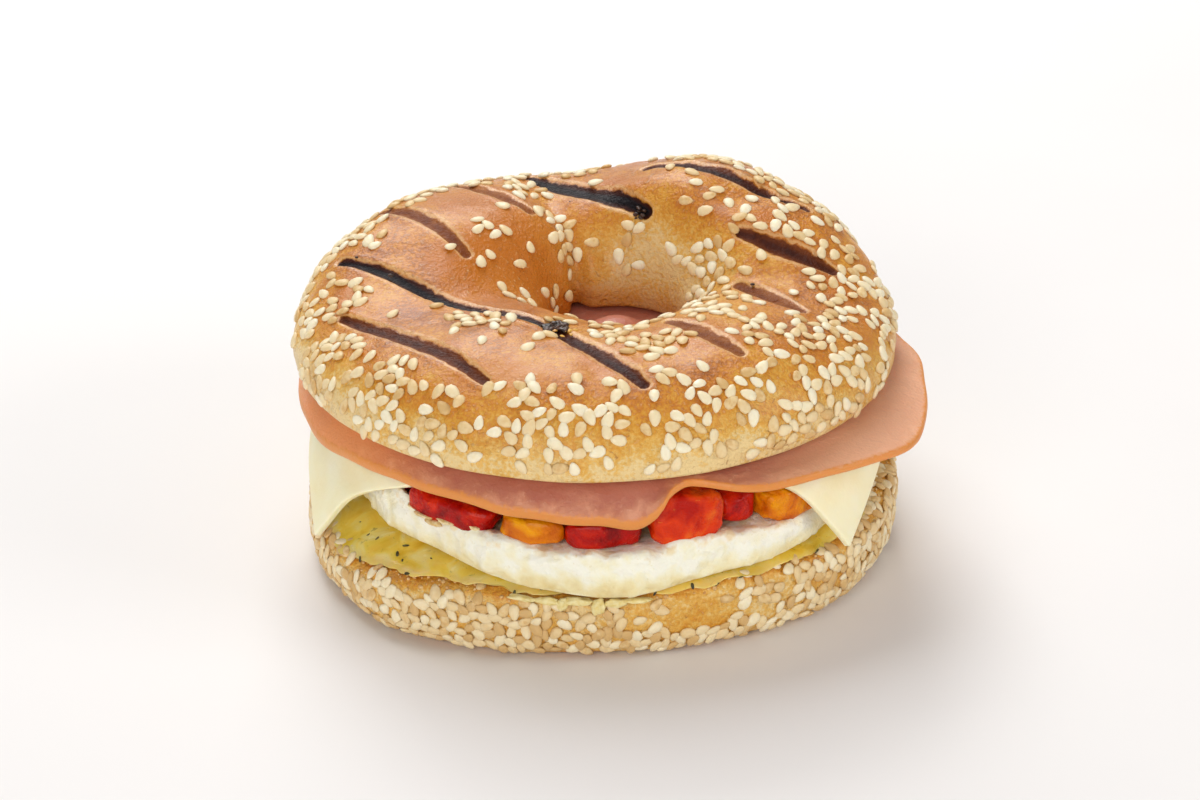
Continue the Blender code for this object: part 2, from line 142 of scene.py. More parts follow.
HAM_DOME_HEIGHT = 4.4
HAM_DOME_R = 10.5

# Egg patty, spread and peppers
EGG_REACH = 50.5
EGG_BOTTOM = 16.1
EGG_TOP = 22.6
EGG_LOBES = ((212, 24, -3.5), (270, 24, 2.0), (300, 20, 1.0))
EGG_DROOP = 1.7
EGG_DROOP_AT = 270.0
EGG_DROOP_WIDTH = 26.0
EGG_DROOP_START = 46.0
EGG_DROOP_RUN = 7.0
SPREAD_GAP = 0.1
SPREAD_THICKNESS = 1.1
SPREAD_INNER_R = 17.0
SPREAD_REACH = 51.5
SPREAD_LOBES = ((214, 24, 3.0), (272, 24, -1.3), (325, 20, 1.6))

# Things scattered on a surface. The inputs of LENGTH_INPUTS are in mm, Tilt is in radians, Taper and
# Smallest are shares, and Where names the attribute that says how thickly the things lie.
LENGTH_INPUTS = ("Spacing", "Length", "Width", "Thickness", "Lift")
LARGEST = 1.1
SESAME = {"Length": 3.15, "Width": 2.05, "Thickness": 0.95, "Taper": 0.3, "Smallest": 0.85, "Where": "room"}
TOP_SEEDS = {**SESAME, "Spacing": 2.1, "Lift": 0.18, "Tilt": 0.2, "Seed": 5}
BOTTOM_SEEDS = {**SESAME, "Spacing": 1.6, "Lift": 0.25, "Tilt": 0.28, "Seed": 9}
CRUMBS = {
    "Spacing": 0.9, "Length": 1.0, "Width": 0.8, "Thickness": 0.6, "Taper": 0.2, "Lift": 0.05, "Tilt": 0.6,
    "Smallest": 0.35, "Where": "crumb", "Seed": 4,
}
HERB_FLECKS = {
    "Spacing": 2.2, "Length": 1.3, "Width": 0.6, "Thickness": 0.3, "Taper": 0.2, "Lift": 0.05, "Tilt": 0.3,
    "Smallest": 0.4, "Where": "room", "Seed": 3,
}

# Heaps of burnt and browned bits on the crust: place, count, spread, smallest and largest
CHAR_HEAPS = ((-7.5, -21.0, 18, 2.2, 0.5, 1.0), (8.0, 24.0, 9, 1.2, 0.3, 0.6))
GOLD_HEAP = (-6.5, -22.4, 10, 2.6, 0.25, 0.55)

# Places of single burnt bits and of faint specks of char, with their spread, smallest and largest
CHAR_SPOTS = ((-44.5, 9.0), (-38.0, 2.0), (28.0, 0.5), (-11.0, 40.0))
CHAR_DUST = ((-46.0, 12.0), (-30.0, -10.0), (20.0, 2.0), (14.0, -26.0), (-20.0, 36.0), (-3.0, 33.0))
SPOT_SIZES = (0.8, 0.25, 0.5)
DUST_SIZES = (3.0, 0.15, 0.3)

# Browned scraps on the egg: azimuth, distance from the axis, height, half length and half width
EGG_SCRAPS = (
    (228, 49.0, 24.2, 1.5, 0.7), (231, 49.5, 23.6, 2.2, 0.8), (234, 49.8, 22.9, 1.8, 0.7),
    (237, 49.5, 23.9, 2.0, 0.6), (243, 49.4, 24.2, 1.6, 0.5), (316, 48.8, 23.4, 2.0, 0.7),
)
SCRAP_HALF_THICKNESS = 0.5

# Cream: azimuth, distance from the axis, height above the cut, half length, width and thickness
CREAM_LUMPS = (
    (255, 52.2, 0.0, 2.6, 0.8, 0.5), (260, 51.9, -0.1, 2.2, 0.8, 0.7), (263, 51.8, -0.5, 1.0, 0.7, 1.3),
    (266, 51.5, 0.0, 2.6, 0.9, 0.8), (270, 51.6, -0.8, 1.3, 0.8, 1.6), (273.5, 51.5, -0.2, 2.0, 0.8, 0.9),
    (278, 51.6, 0.1, 2.4, 0.8, 0.5),
)

# Lights, in metres: name, place, size, power and colour
LIGHTS = (
    ("key", (-0.22, 0.45, 0.9), 0.7, 5.8, (1.0, 1.0, 1.0)),
    ("back", (-0.2, 0.98, 0.74), 0.6, 5.8, (1.0, 1.0, 1.0)),
    ("front", (-0.3, -1.1, 0.42), 0.8, 7.0, (1.0, 0.985, 0.97)),
    ("right", (0.95, -0.3, 0.5), 0.5, 3.4, (1.0, 0.985, 0.97)),
)
LIGHTS_FACE = (0.0, 0.0, 0.03)
STUDIO_COLOUR = (1.0, 0.975, 0.955, 1.0)
STUDIO_STRENGTH = 0.26
FLOOR_SIDE = 6.0


# Curves and unevenness


def wrapped(angle):
    return (angle + 180.0) % 360.0 - 180.0


def bump(angle, centre, width):
    return math.exp(-((wrapped(angle - centre) / width) ** 2))


def lobes(azimuth, table):
    """The sum of the bumps in a table of (azimuth, width, how far out)."""
    return sum(out * bump(azimuth, centre, width) for centre, width, out in table)


def smooth(value):
    value = min(max(value, 0.0), 1.0)
    return value * value * (3.0 - 2.0 * value)


def between(value, low, high):
    """0 below low, 1 above high and a smooth step between."""
    return smooth((value - low) / (high - low))


def round_table(angle, table):
    """A smooth closed curve through (azimuth, value) pairs."""
    angle %= 360.0
    count = len(table)
    last = max(index for index in range(count) if table[index][0] <= angle)

    def knot(index):
        turns, place = divmod(index, count)
        return table[place][0] + 360.0 * turns, table[place][1]

    (a0, v0), (a1, v1), (a2, v2), (a3, v3) = (knot(last + step) for step in (-1, 0, 1, 2))
    span = a2 - a1
    slope1 = (v2 - v0) / (a2 - a0) * span
    slope2 = (v3 - v1) / (a3 - a1) * span
    t = (angle - a1) / span
    return (
        (2 * t**3 - 3 * t**2 + 1) * v1
        + (t**3 - 2 * t**2 + t) * slope1
        + (3 * t**2 - 2 * t**3) * v2
        + (t**3 - t**2) * slope2
    )


def polar(radius, azimuth, height):
    angle = math.radians(azimuth)
    return Vector((radius * math.cos(angle), radius * math.sin(angle), height))


def azimuth_of(place, centre=(0.0, 0.0)):
    return math.degrees(math.atan2(place.y - centre[1], place.x - centre[0])) % 360.0


def radius_of(place):
    return math.hypot(place.x, place.y)


def lumps(place, size, seed=0.0):
    """Smooth noise from -1 to 1 whose bumps are about size mm across."""
    return noise.noise(place / size + Vector((seed, seed, seed)))


def layered(place, layers):
    """The sum of several such noises, each given by its height, size and seed."""
    return sum(height * lumps(place, size, seed) for height, size, seed in layers)


def spline_loop(points, share):
    """A soft closed curve that runs near the points: share runs once round from 0 to 1."""
    count = len(points)
    index, t = divmod(share * count, 1.0)
    p0, p1, p2, p3 = (points[(int(index) + step) % count] for step in (-1, 0, 1, 2))
    weights = (
        (1 - t) ** 3 / 6,
        (3 * t**3 - 6 * t**2 + 4) / 6,
        (-3 * t**3 + 3 * t**2 + 3 * t + 1) / 6,
        t**3 / 6,
    )
    return tuple(sum(w * p[axis] for w, p in zip(weights, (p0, p1, p2, p3))) for axis in (0, 1))


# Making pieces


def link(piece):
    bpy.context.scene.collection.objects.link(piece)
    return piece


def piece_from(shape, name):
    """Turn an edited mesh into a linked piece."""
    mesh = bpy.data.meshes.new(name)
    shape.to_mesh(mesh)
    shape.free()
    return link(bpy.data.objects.new(name, mesh))


def ring_piece(name, around, along, point):
    """A closed ring of quads: its vertices lie at point(azimuth, share of the way along)."""
    azimuths = [360.0 * step / around for step in range(around)]
    places = [MM * point(azimuth, share / along) for azimuth in azimuths for share in range(along)]
    quads = []
    for step in range(around):
        here, beside = step * along, (step + 1) % around * along
        for share in range(along):
            after = (share + 1) % along
            quads.append((here + share, beside + share, beside + after, here + after))
    mesh = bpy.data.meshes.new(name)
    mesh.from_pydata(places, [], quads)
    return link(bpy.data.objects.new(name, mesh))


def disc_piece(name, around, rings, point):
    """A closed disc: a sphere whose vertices move to point(azimuth, share out to the rim, side).

    Its attribute "out" keeps each vertex's share of the way out.
    """
    bpy.ops.mesh.primitive_uv_sphere_add(segments=around, ring_count=2 * rings, radius=1.0)
    piece = bpy.context.object
    piece.name = name
    shares = []
    for vertex in piece.data.vertices:
        step = round(math.acos(max(-1.0, min(1.0, vertex.co.z))) / math.pi * 2 * rings)
        azimuth = math.degrees(math.atan2(vertex.co.y, vertex.co.x))
        side = 0 if step == rings else (1 if step < rings else -1)
        shares.append(min(step, 2 * rings - step) / rings)
        vertex.co = MM * point(azimuth, shares[-1], side)
    store(piece, "out", shares)
    return piece


def emboss(piece, height):
    """Move each vertex along its own normal by height(place, normal) mm."""
    mesh = piece.data
    normals = [normal.vector.copy() for normal in mesh.vertex_normals]
    for vertex, normal in zip(mesh.vertices, normals):
        vertex.co += MM * height(vertex.co / MM, normal) * normal


def store(piece, name, values):
    layer = piece.data.attributes.new(name, "FLOAT", "POINT")
    layer.data.foreach_set("value", values)


def paint(piece, name, number):
    """Store number(place in mm) on each vertex, for the piece's material or its seeds."""
    store(piece, name, [number(vertex.co / MM) for vertex in piece.data.vertices])


def settle(piece, material, node_slot, *nodes):
    """Move a piece from the hole's axis to its place, finish it and tie it to the frame."""
    piece.data.transform(Matrix.Translation(MM * AXIS_AT))
    piece.data.materials.clear()
    piece.data.materials.append(material)
    piece.data.shade_smooth()
    hand_over(piece, node_slot, *nodes)


def hand_over(piece, node_slot, *nodes):
    """Tie a finished piece to the frame, in place of the named nodes."""
    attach(piece, "root")
    if nodes:
        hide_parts(*nodes)


# Node helpers

USUAL_NOISE = (0.3, 0.7)
GLOW_DEPTH = 1.5


def add(tree, kind, inputs=None, **settings):
    """Add a node, set its options, and set or link its inputs."""
    made = tree.nodes.new(kind)
    for name, value in settings.items():
        setattr(made, name, value)
    for socket, value in (inputs or {}).items():
        if isinstance(value, bpy.types.NodeSocket):
            tree.links.new(value, made.inputs[socket])
        else:
            made.inputs[socket].default_value = value
    return made


def maths(tree, operation, first, second=0.0, third=0.0):
    made = add(tree, "ShaderNodeMath", {0: first, 1: second, 2: third}, operation=operation)
    return made.outputs[0]


def plus(tree, first, second):
    return maths(tree, "ADD", first, second)


def times(tree, first, second):
    return maths(tree, "MULTIPLY", first, second)


def fade(tree, value, low, high, start=0.0, end=1.0):
    """Map value from low..high to start..end, held at the ends."""
    inputs = {"Value": value, "From Min": low, "From Max": high, "To Min": start, "To Max": end}
    return add(tree, "ShaderNodeMapRange", inputs, clamp=True).outputs[0]


def swing(tree, value, start, end):
    """Map noise from spots, over its usual range, to start..end."""
    return fade(tree, value, *USUAL_NOISE, start, end)


def spots(tree, place, size, detail=3.0, twist=0.0):
    """Noise from 0 to 1 whose spots are about size mm across."""
    inputs = {"Vector": place, "Scale": 1.0 / (size * MM), "Detail": detail, "Distortion": twist}
    return add(tree, "ShaderNodeTexNoise", inputs).outputs["Fac"]


def tint(tree, value, stops):
    """A colour ramp through (position, colour) stops."""
    ramp = add(tree, "ShaderNodeValToRGB", {"Fac": value})
    points = ramp.color_ramp.elements
    while len(points) < len(stops):
        points.new(0.5)
    for point, (position, colour) in zip(points, stops):
        point.position = position
        point.color = (*colour, 1.0)
    return ramp.outputs["Color"]


def mix(tree, share, first, second):
    """Colour first where share is 0 and second where it is 1."""
    made = add(tree, "ShaderNodeMix", data_type="RGBA")
    for socket, value in ((0, share), (6, first), (7, second)):
        if isinstance(value, bpy.types.NodeSocket):
            tree.links.new(value, made.inputs[socket])
        else:
            made.inputs[socket].default_value = (*value, 1.0) if socket else value
    return made.outputs[2]


def painted(tree, name):
    return add(tree, "ShaderNodeAttribute", attribute_name=name).outputs["Fac"]


def new_finish(name, specular=0.5, coat=0.0, coat_roughness=0.2, glow=0.0, glow_reach=(1.0, 0.5, 0.3)):
    """A material with its tree, its shader and the place on the piece that patterns read."""
    numbers = {
        "Specular IOR Level": specular, "Coat Weight": coat, "Coat Roughness": coat_roughness,
        "Subsurface Weight": glow, "Subsurface Radius": glow_reach, "Subsurface Scale": GLOW_DEPTH * MM,
    }
    material = bpy.data.materials.new(name)
    material.use_nodes = True
    tree = material.node_tree
    shader = tree.nodes["Principled BSDF"]
    for socket, number in numbers.items():
        shader.inputs[socket].default_value = number
    place = add(tree, "ShaderNodeTexCoord").outputs["Object"]
    return material, tree, shader, place


def dress(tree, shader, colour, roughness, relief, depth):
    """Send a colour, a roughness and a relief of some depth in mm to the shader."""
    tree.links.new(colour, shader.inputs["Base Color"])
    tree.links.new(roughness, shader.inputs["Roughness"])
    inputs = {"Height": relief, "Distance": depth * MM, "Strength": 1.0}
    bumps = add(tree, "ShaderNodeBump", inputs)
    tree.links.new(bumps.outputs["Normal"], shader.inputs["Normal"])


# The top half's shape

CUT_ANGLE = math.asin((WIDEST_UP / TUCK_DEPTH) ** (1.0 / HEIGHT_FULLNESS))
CROWN_AROUND = 420
CROWN_ALONG = 150
CROWN_CRUST_SHARE = 0.93
TILT_HALVINGS = 24


def crown_reach(azimuth):
    a = math.radians(azimuth)
    return (
        CROWN_REACH - 0.5 * math.cos(a) + 3.5 * math.sin(a)
        + 0.4 * math.cos(2 * a) + 0.4 * math.sin(2 * a)
    )


def crease(azimuth, tilt):
    """How far the seam and the fold sink; tilt runs from 0 outside to 180 in the throat."""
    down = between(tilt, 60.0, 170.0)
    centre = SEAM_AT_CREST + (SEAM_AT_THROAT - SEAM_AT_CREST) * down
    seam = SEAM_DEPTH * bump(azimuth, centre, SEAM_WIDTH) * between(tilt, 60.0, 100.0)
    fold = FOLD_DEPTH * bump(azimuth, FOLD_AT, FOLD_WIDTH) * bump(tilt, FOLD_TILT, FOLD_LENGTH)
    return seam + fold


def crown_point(azimuth, tilt):
    """A point of the crust; tilt is the angle round the section, 0 at the outer side."""
    angle = math.radians(tilt)
    across, up = math.cos(angle), math.sin(angle)
    if across > 0:
        radius = CREST_R + (crown_reach(azimuth) - CREST_R) * across**OUTER_FULLNESS
    else:
        radius = CREST_R - (CREST_R - THROAT_R) * (-across) ** INNER_FULLNESS
    rise = round_table(azimuth, CREST_HEIGHTS) - WIDEST_UP if up > 0 else TUCK_DEPTH
    height = CUT_Z + WIDEST_UP + rise * math.copysign(abs(up) ** HEIGHT_FULLNESS, up)
    above_cut = height - CUT_Z
    if above_cut < CUT_EDGE_R:
        inset = CUT_EDGE_R - math.sqrt(max(0.0, CUT_EDGE_R**2 - (CUT_EDGE_R - above_cut) ** 2))
        radius -= math.copysign(inset, across)
    sunk = crease(azimuth, tilt)
    point = polar(radius - sunk * across, azimuth, height - sunk * up)
    shift = smooth((0.3 - across) / 1.2)
    return point + shift * Vector((*THROAT_AT, 0.0))


def crown_tilt(share):
    start = -math.degrees(CUT_ANGLE)
    return start + (180.0 - 2.0 * start) * min(share / CROWN_CRUST_SHARE, 1.0)


def crown_section(azimuth, share):
    """The section's closed loop: over the crust to the throat, then back along the cut face."""
    if share <= CROWN_CRUST_SHARE:
        return crown_point(azimuth, crown_tilt(share))
    inner = crown_point(azimuth, crown_tilt(1.0))
    outer = crown_point(azimuth, crown_tilt(0.0))
    return inner.lerp(outer, (share - CROWN_CRUST_SHARE) / (1.0 - CROWN_CRUST_SHARE))


def crown_top_at(x, y):
    """The crust's highest point above a place seen from above, by halving the tilt."""
    azimuth = math.degrees(math.atan2(y, x))
    low, high = 5.0, 175.0
    for _ in range(TILT_HALVINGS):
        tilt = 0.5 * (low + high)
        point = crown_point(azimuth, tilt)
        azimuth += wrapped(math.degrees(math.atan2(y, x) - math.atan2(point.y, point.x)))
        if math.hypot(point.x, point.y) > math.hypot(x, y):
            low = tilt
        else:
            high = tilt
    return crown_point(azimuth, tilt)


def mark_line(start, end):
    """Points along a grill mark, on the crust."""
    steps = (Vector(start).lerp(Vector(end), step / MARK_STEPS) for step in range(MARK_STEPS + 1))
    return [crown_top_at(*step) for step in steps]


MARK_LINES = [mark_line(start, end) for start, end, _, _ in GRILL_MARKS]


def nearest_mark(place):
    """How far a place is from the nearest grill mark, in its half widths, and how black that is."""
    nearest = (MARK_REACH, 0.0)
    for line, (_, _, half_width, black) in zip(MARK_LINES, GRILL_MARKS):
        middle = 0.5 * (line[0] + line[-1])
        if (place - middle).length > (line[0] - middle).length + MARK_REACH * half_width + 4.0:
            continue
        for step in range(MARK_STEPS):
            ahead = line[step + 1] - line[step]
            along = max(0.0, min(1.0, (place - line[step]).dot(ahead) / ahead.length_squared))
            gap = (place - line[step] - along * ahead).length
            share = min(max((step + along) / MARK_STEPS, MARK_TIP), 1.0 - MARK_TIP)
            taper = math.sin(math.pi * share) ** 0.5
            width = half_width * (MARK_TIP_WIDTH + (1.0 - MARK_TIP_WIDTH) * taper)
            nearest = min(nearest, (gap / width, black))
    return nearest


def crust_relief(place, normal):
    """The top crust's unevenness: broad lumps, small pits and the grooves of the grill marks."""
    height = layered(place, CRUST_LUMPS)
    gap, black = nearest_mark(place)
    depth = GROOVE_DEPTH * (0.35 + 0.65 * black)
    height -= depth * (1.0 - between(gap, 0.5, 1.15))
    height += MARK_LIP * between(gap, 0.9, 1.2) * (1.0 - between(gap, 1.3, 2.2))
    if place.z < CUT_Z + 0.5:
        height *= 0.3
    return height


# Where seeds lie on the top crust: azimuth, tilt, how far round that, how thickly
CROWN_SEED_PATCHES = (
    (184, 48, 8.0, 0.9), (204, 42, 6.0, 0.8), (222, 33, 8.5, 1.0), (233, 14, 9.0, 1.0),
    (244, 48, 5.0, 0.9), (255, 48, 7.0, 0.95), (270, 50, 6.5, 0.8), (288, 68, 4.5, 0.7),
    (290, 40, 8.0, 0.85), (306, 64, 8.5, 0.8), (328, 48, 15.0, 1.0), (312, 20, 13.0, 1.0),
    (5, 54, 12.0, 1.0), (20, 86, 7.5, 0.75), (40, 98, 6.0, 0.5), (34, 58, 11.0, 0.9),
    (60, 78, 9.0, 0.65), (111, 78, 6.5, 1.0), (153, 106, 3.2, 0.9), (172, 108, 4.0, 0.55),
    (120, 116, 5.0, 1.0), (123, 134, 5.5, 1.0), (146, 160, 5.5, 0.9), (72, 132, 5.0, 0.4),
    (80, 158, 5.0, 0.5), (10, 126, 8.5, 0.95), (14, 96, 5.0, 0.5), (185, 136, 6.5, 0.45),
    (222, 98, 7.5, 0.75), (250, 104, 7.0, 0.7), (284, 103, 9.0, 1.0), (306, 98, 8.0, 0.9),
    (330, 108, 8.0, 0.7), (244, 4, 8.0, 0.85), (258, 8, 8.5, 0.8), (268, 14, 7.0, 0.6),
    (286, 18, 9.5, 0.8), (350, 18, 15.0, 0.9), (60, 35, 16.0, 0.8), (95, 30, 15.0, 0.6),
    (130, 38, 16.0, 0.75), (160, 24, 15.0, 0.9), (195, 14, 12.0, 0.9), (300, 150, 16.0, 0.5),
)
PATCH_CENTRES = [crown_point(azimuth, tilt) for azimuth, tilt, _, _ in CROWN_SEED_PATCHES]


def crown_seed_room(place):
    """How thickly seeds lie at a place on the top crust, from 0 to 1."""
    if place.z < CUT_Z + 1.2:
        return 0.0
    room = 0.03
    for centre, (_, _, radius, much) in zip(PATCH_CENTRES, CROWN_SEED_PATCHES):
        gap = (place - centre).length
        if gap < 1.3 * radius:
            room = max(room, much * (1.0 - between(gap, 0.7 * radius, 1.3 * radius)))
    clusters = between(lumps(place, 6.0, 21.0) + 0.5 * lumps(place, 2.5, 5.0), -0.42, -0.05)
    off_marks = between(nearest_mark(place)[0], 1.1, 1.5)
    return room * (0.1 + 0.9 * clusters) * off_marks


def baked(place):
    """How brown the top crust is, from 0, pale dough, to 1, deep brown; low on the left it is also made
    paler as painted light.
    """
    azimuth = azimuth_of(place)
    radius = radius_of(place)
    up = (place.z - CUT_Z) / round_table(azimuth, CREST_HEIGHTS)
    outer = between(radius, CREST_R - 2.0, CREST_R + 6.0)
    brown = 0.06 + 0.4 * between(up, 0.1, 0.6) + 0.18 * between(up, 0.6, 0.97)
    brown += 0.16 * bump(azimuth, 190, 60) * between(up, 0.6, 0.95)
    brown += 0.16 * bump(azimuth, 30, 60) * between(up, 0.3, 0.8) * outer
    # Painted light: paler low on the left side, where light from the left falls on the crust.
    brown -= 0.28 * bump(azimuth, 204, 34) * (1.0 - between(up, 0.4, 0.75))
    if radius < CREST_R:
        inner = 1.0 - between(radius, CREST_R - 9.0, CREST_R - 1.0)
        brown -= 0.32 * inner * bump(azimuth, 40, 55)
        brown += 0.08 * inner * bump(azimuth, 165, 50)
    return max(0.0, min(1.0, brown))


def ambered(place):
    """How far the crust glows amber: most on the hole's left wall and low down inside it."""
    azimuth = azimuth_of(place, THROAT_AT)
    radius = radius_of(place)
    inner = 1.0 - between(radius, CREST_R - 8.0, CREST_R + 2.0)
    low = 1.0 - between(place.z, CUT_Z + 1.0, CUT_Z + 8.0)
    wall = 0.95 * bump(azimuth, 165, 50) + 0.4 * low + 0.08
    patches = 0.75 * between(lumps(place, 10.0, 44.0), -0.05, 0.45) * between(place.z, 43.0, 48.0)
    return min(1.0, inner * wall + patches * (1.0 - inner))


# The bottom half's shape

HEEL_AROUND = 360
HEEL_ALONG = 110
CRUST_PUFF = -0.35
CRUMB_LUMPS = ((0.28, 1.7, 12.0), (0.22, 4.0, 2.0))
CRUMB_SUNK = 0.1
WALL_LUMPS = ((0.4, 11.0, 2.0), (0.2, 4.0, 9.0), (0.1, 1.8, 4.0))
LOWEST_SEED_Z = 1.7


def heel_reach(azimuth):
    return round_table(azimuth, HEEL_REACHES)


def heel_top(azimuth, radius):
    """Height of the cut face, which sags towards the rim where the bread is squashed."""
    share = (radius - HEEL_SAG_START) / (heel_reach(azimuth) - HEEL_SAG_START)
    return HEEL_HEIGHT - lobes(azimuth, HEEL_SAGS) * max(0.0, share)


def heel_section(azimuth, share):
    reach = heel_reach(azimuth) + CRUST_PUFF
    rim = reach - HEEL_TOP_EDGE_R
    top = heel_top(azimuth, rim)
    lean = HEEL_EDGE_R * 0.25
    loop = (
        (reach, 0.62 * top), (reach - 0.2, top - HEEL_TOP_EDGE_R), (rim, top),
        (rim - 2.0, heel_top(azimuth, rim - 2.0)), (HEEL_SAG_START, HEEL_HEIGHT), (31.0, HEEL_HEIGHT),
        (HEEL_HOLE_R + 1.0, HEEL_HEIGHT), (HEEL_HOLE_R, HEEL_HEIGHT - 1.0),
        (HEEL_HOLE_R - 1.5, 0.5 * HEEL_HEIGHT), (HEEL_HOLE_R, 1.0), (HEEL_HOLE_R + 2.0, 0.0),
        (24.0, 0.0), (38.0, 0.0), (reach - HEEL_EDGE_R - 1.0, 0.0), (reach - 0.62 * HEEL_EDGE_R, 0.1),
        (reach - 1.4 * lean, 0.7 * lean), (reach - 0.3 * lean, 2.0 * lean),
    )
    radius, height = spline_loop(loop, share)
    return polar(radius, azimuth, height)


def heel_relief(place, normal):
    """Soft lumps on the crust, and an open, torn crumb on the cut face."""
    if normal.z < -0.9:
        return 0.0
    azimuth = azimuth_of(place)
    if normal.z > 0.6 or place.z > heel_top(azimuth, heel_reach(azimuth)) - 1.0:
        return layered(place, CRUMB_LUMPS) - CRUMB_SUNK
    return layered(place, WALL_LUMPS)


def heel_seed_room(place):
    """How thickly seeds lie on the bottom half's outer wall, from 0 to 1."""
    azimuth = azimuth_of(place)
    radius = radius_of(place)
    if radius < heel_reach(azimuth) - 5.5 or place.z < LOWEST_SEED_Z:
        return 0.0
    top = heel_top(azimuth, heel_reach(azimuth))
    bare = 0.95 * bump(azimuth, 292, 15) * between(place.z, 4.5, 7.0)
    open_front = bump(azimuth, 262, 55)
    bare = max(bare, 0.97 * open_front * between(place.z, top - 1.5, top - 0.6))
    patchy = 0.8 + 0.2 * between(lumps(place, 5.0, 31.0) + 0.4 * lumps(place, 2.5, 8.0), -0.4, 0.0)
    return max(0.0, 1.0 - bare) * patchy


def heel_crumb_room(place):
    """How thickly loose crumbs lie on the bottom half's cut face: only near its rim."""
    azimuth = azimuth_of(place)
    gap = heel_reach(azimuth) - radius_of(place)
    if place.z < heel_top(azimuth, heel_reach(azimuth)) - 1.6:
        return 0.0
    near_rim = between(gap, -0.5, 0.6) * (1.0 - between(gap, 4.0, 6.0))
    return near_rim * between(lumps(place, 3.0, 70.0), -0.3, 0.3)


def heel_baked(place):
    azimuth = azimuth_of(place)
    radius = radius_of(place)
    top = heel_top(azimuth, radius)
    toasted_rim = between(place.z, top - 1.4, top - 0.2) * between(radius, 40.0, 50.0)
    return 0.2 + 0.26 * toasted_rim + 0.12 * (1.0 - between(place.z, 0.2, 3.0))


# Sheets


def draped(x, y, lift, hang):
    """Where a point of a flat sheet comes to lie once the sheet is laid over the filling."""
    reach = math.hypot(x, y)
    if reach <= BEND_START:
        return Vector((x, DRAPE_Y + y, DRAPE_Z + lift))
    radius = BEND_R + lift
    arc = reach - BEND_START
    turn = min(arc / radius, math.radians(hang))
    straight = arc - turn * radius
    out = BEND_START + radius * math.sin(turn) + straight * math.cos(turn)
    drop = radius * (1.0 - math.cos(turn)) + straight * math.sin(turn)
    return Vector((x / reach * out, DRAPE_Y + y / reach * out, DRAPE_Z + lift - drop))


def ham_hang(azimuth):
    """How far the ham turns down: fully at the left and front, hardly where it flares right."""
    azimuth %= 360.0
    if azimuth < 180.0:
        azimuth += 360.0
    folded = smooth((azimuth - HAM_FOLD_FROM) / (HAM_FOLD_TO - HAM_FOLD_FROM))
    flare_over = smooth((azimuth - HAM_FLARE_END) / HAM_FLARE_FADE)
    return FULL_HANG + (HAM_FLARE_HANG - FULL_HANG) * (folded - flare_over * folded)


HAM_AROUND = 300
HAM_RINGS = 70
HAM_ROUNDED = 0.008


def ham_reach(azimuth):
    a = math.radians(azimuth)
    return round_table(azimuth, HAM_REACHES) + 0.25 * math.sin(11 * a) + 0.15 * math.sin(23 * a + 1.0)


def ham_point(azimuth, share, side):
    out = 1.0 - (1.0 - share) ** 1.6
    reach = out * ham_reach(azimuth)
    throat = Vector((THROAT_AT[0], THROAT_AT[1] - DRAPE_Y, 0.0))
    flat = polar(reach, azimuth, 0.0) + (1.0 - smooth(out)) * throat
    edge = math.sqrt(max(0.0, 1.0 - max(0.0, (out - 1.0 + HAM_ROUNDED) / HAM_ROUNDED) ** 2))
    lift = HAM_LIFT + 0.5 * side * HAM_THICKNESS * edge
    off_centre = (flat - throat).length / HAM_DOME_R
    dome = HAM_DOME_HEIGHT * max(0.0, 1.0 - off_centre**2) ** 2
    free = between(reach, BEND_START + 2.0, BEND_START + 10.0)
    wave = 0.35 * free * lumps(polar(reach, azimuth, 0.0), 9.0, 14.0)
    return draped(flat.x, flat.y, lift + wave, ham_hang(azimuth)) + Vector((0.0, 0.0, dome))


# Name, front corner, turn, lift, the way it runs from that corner, bow of the front edge, node
CHEESES = (
    ("cheese_left", (-63.7, -30.7), -9.0, 1.4, 1, (11, 32, 4.8), "cheese_slice_left"),
    ("cheese_right", (53.9, -44.2), -7.0, 3.9, -1, (12, 28, 1.8), "cheese_slice_right"),
)


def cheese_piece(name, corner, turned, lift, toward, bow, node, material):
    """A square slice with one front corner given; toward is 1 if it runs right of that corner.

    Its front edge bows out by some mm between two distances from the corner, where it hangs free.
    """
    shape = bmesh.new()
    bmesh.ops.create_grid(shape, x_segments=90, y_segments=90, size=0.5 * CHEESE_SIDE)
    turn = Matrix.Rotation(math.radians(turned), 3, "Z")
    half = 0.5 * CHEESE_SIDE
    middle = Vector((*corner, 0.0)) + turn @ Vector((toward * half, half, 0.0))
    for vertex in shape.verts:
        soft_corner = 0.985 + 0.015 * math.cos(4.0 * math.atan2(vertex.co.y, vertex.co.x) + math.pi)
        flat = middle + turn @ (vertex.co * soft_corner)
        along, start, end, out = toward * (flat.x - corner[0]), *bow
        free = between(along, start, end) * (1.0 - between(along, end + 10.0, end + 25.0))
        flat.y -= out * free * (1.0 - between(flat.y, corner[1], corner[1] + 20.0))
        sag = 0.22 * lumps(flat, 10.0, 40.0 + lift)
        vertex.co = MM * draped(flat.x, flat.y, lift + sag, FULL_HANG)
    piece = piece_from(shape, name)
    thicken = piece.modifiers.new("Thickness", "SOLIDIFY")
    thicken.thickness = CHEESE_THICKNESS * MM
    thicken.offset = 0.0
    thicken.use_even_offset = False
    soften = piece.modifiers.new("Soft edge", "BEVEL")
    soften.width = CHEESE_EDGE_R * MM
    soften.segments = 3
    soften.limit_method = "ANGLE"
    soften.angle_limit = math.radians(60.0)
    graph = bpy.context.evaluated_depsgraph_get()
    piece.data = bpy.data.meshes.new_from_object(piece.evaluated_get(graph))
    piece.modifiers.clear()
    settle(piece, material, "cheese", node)


# Egg and spread

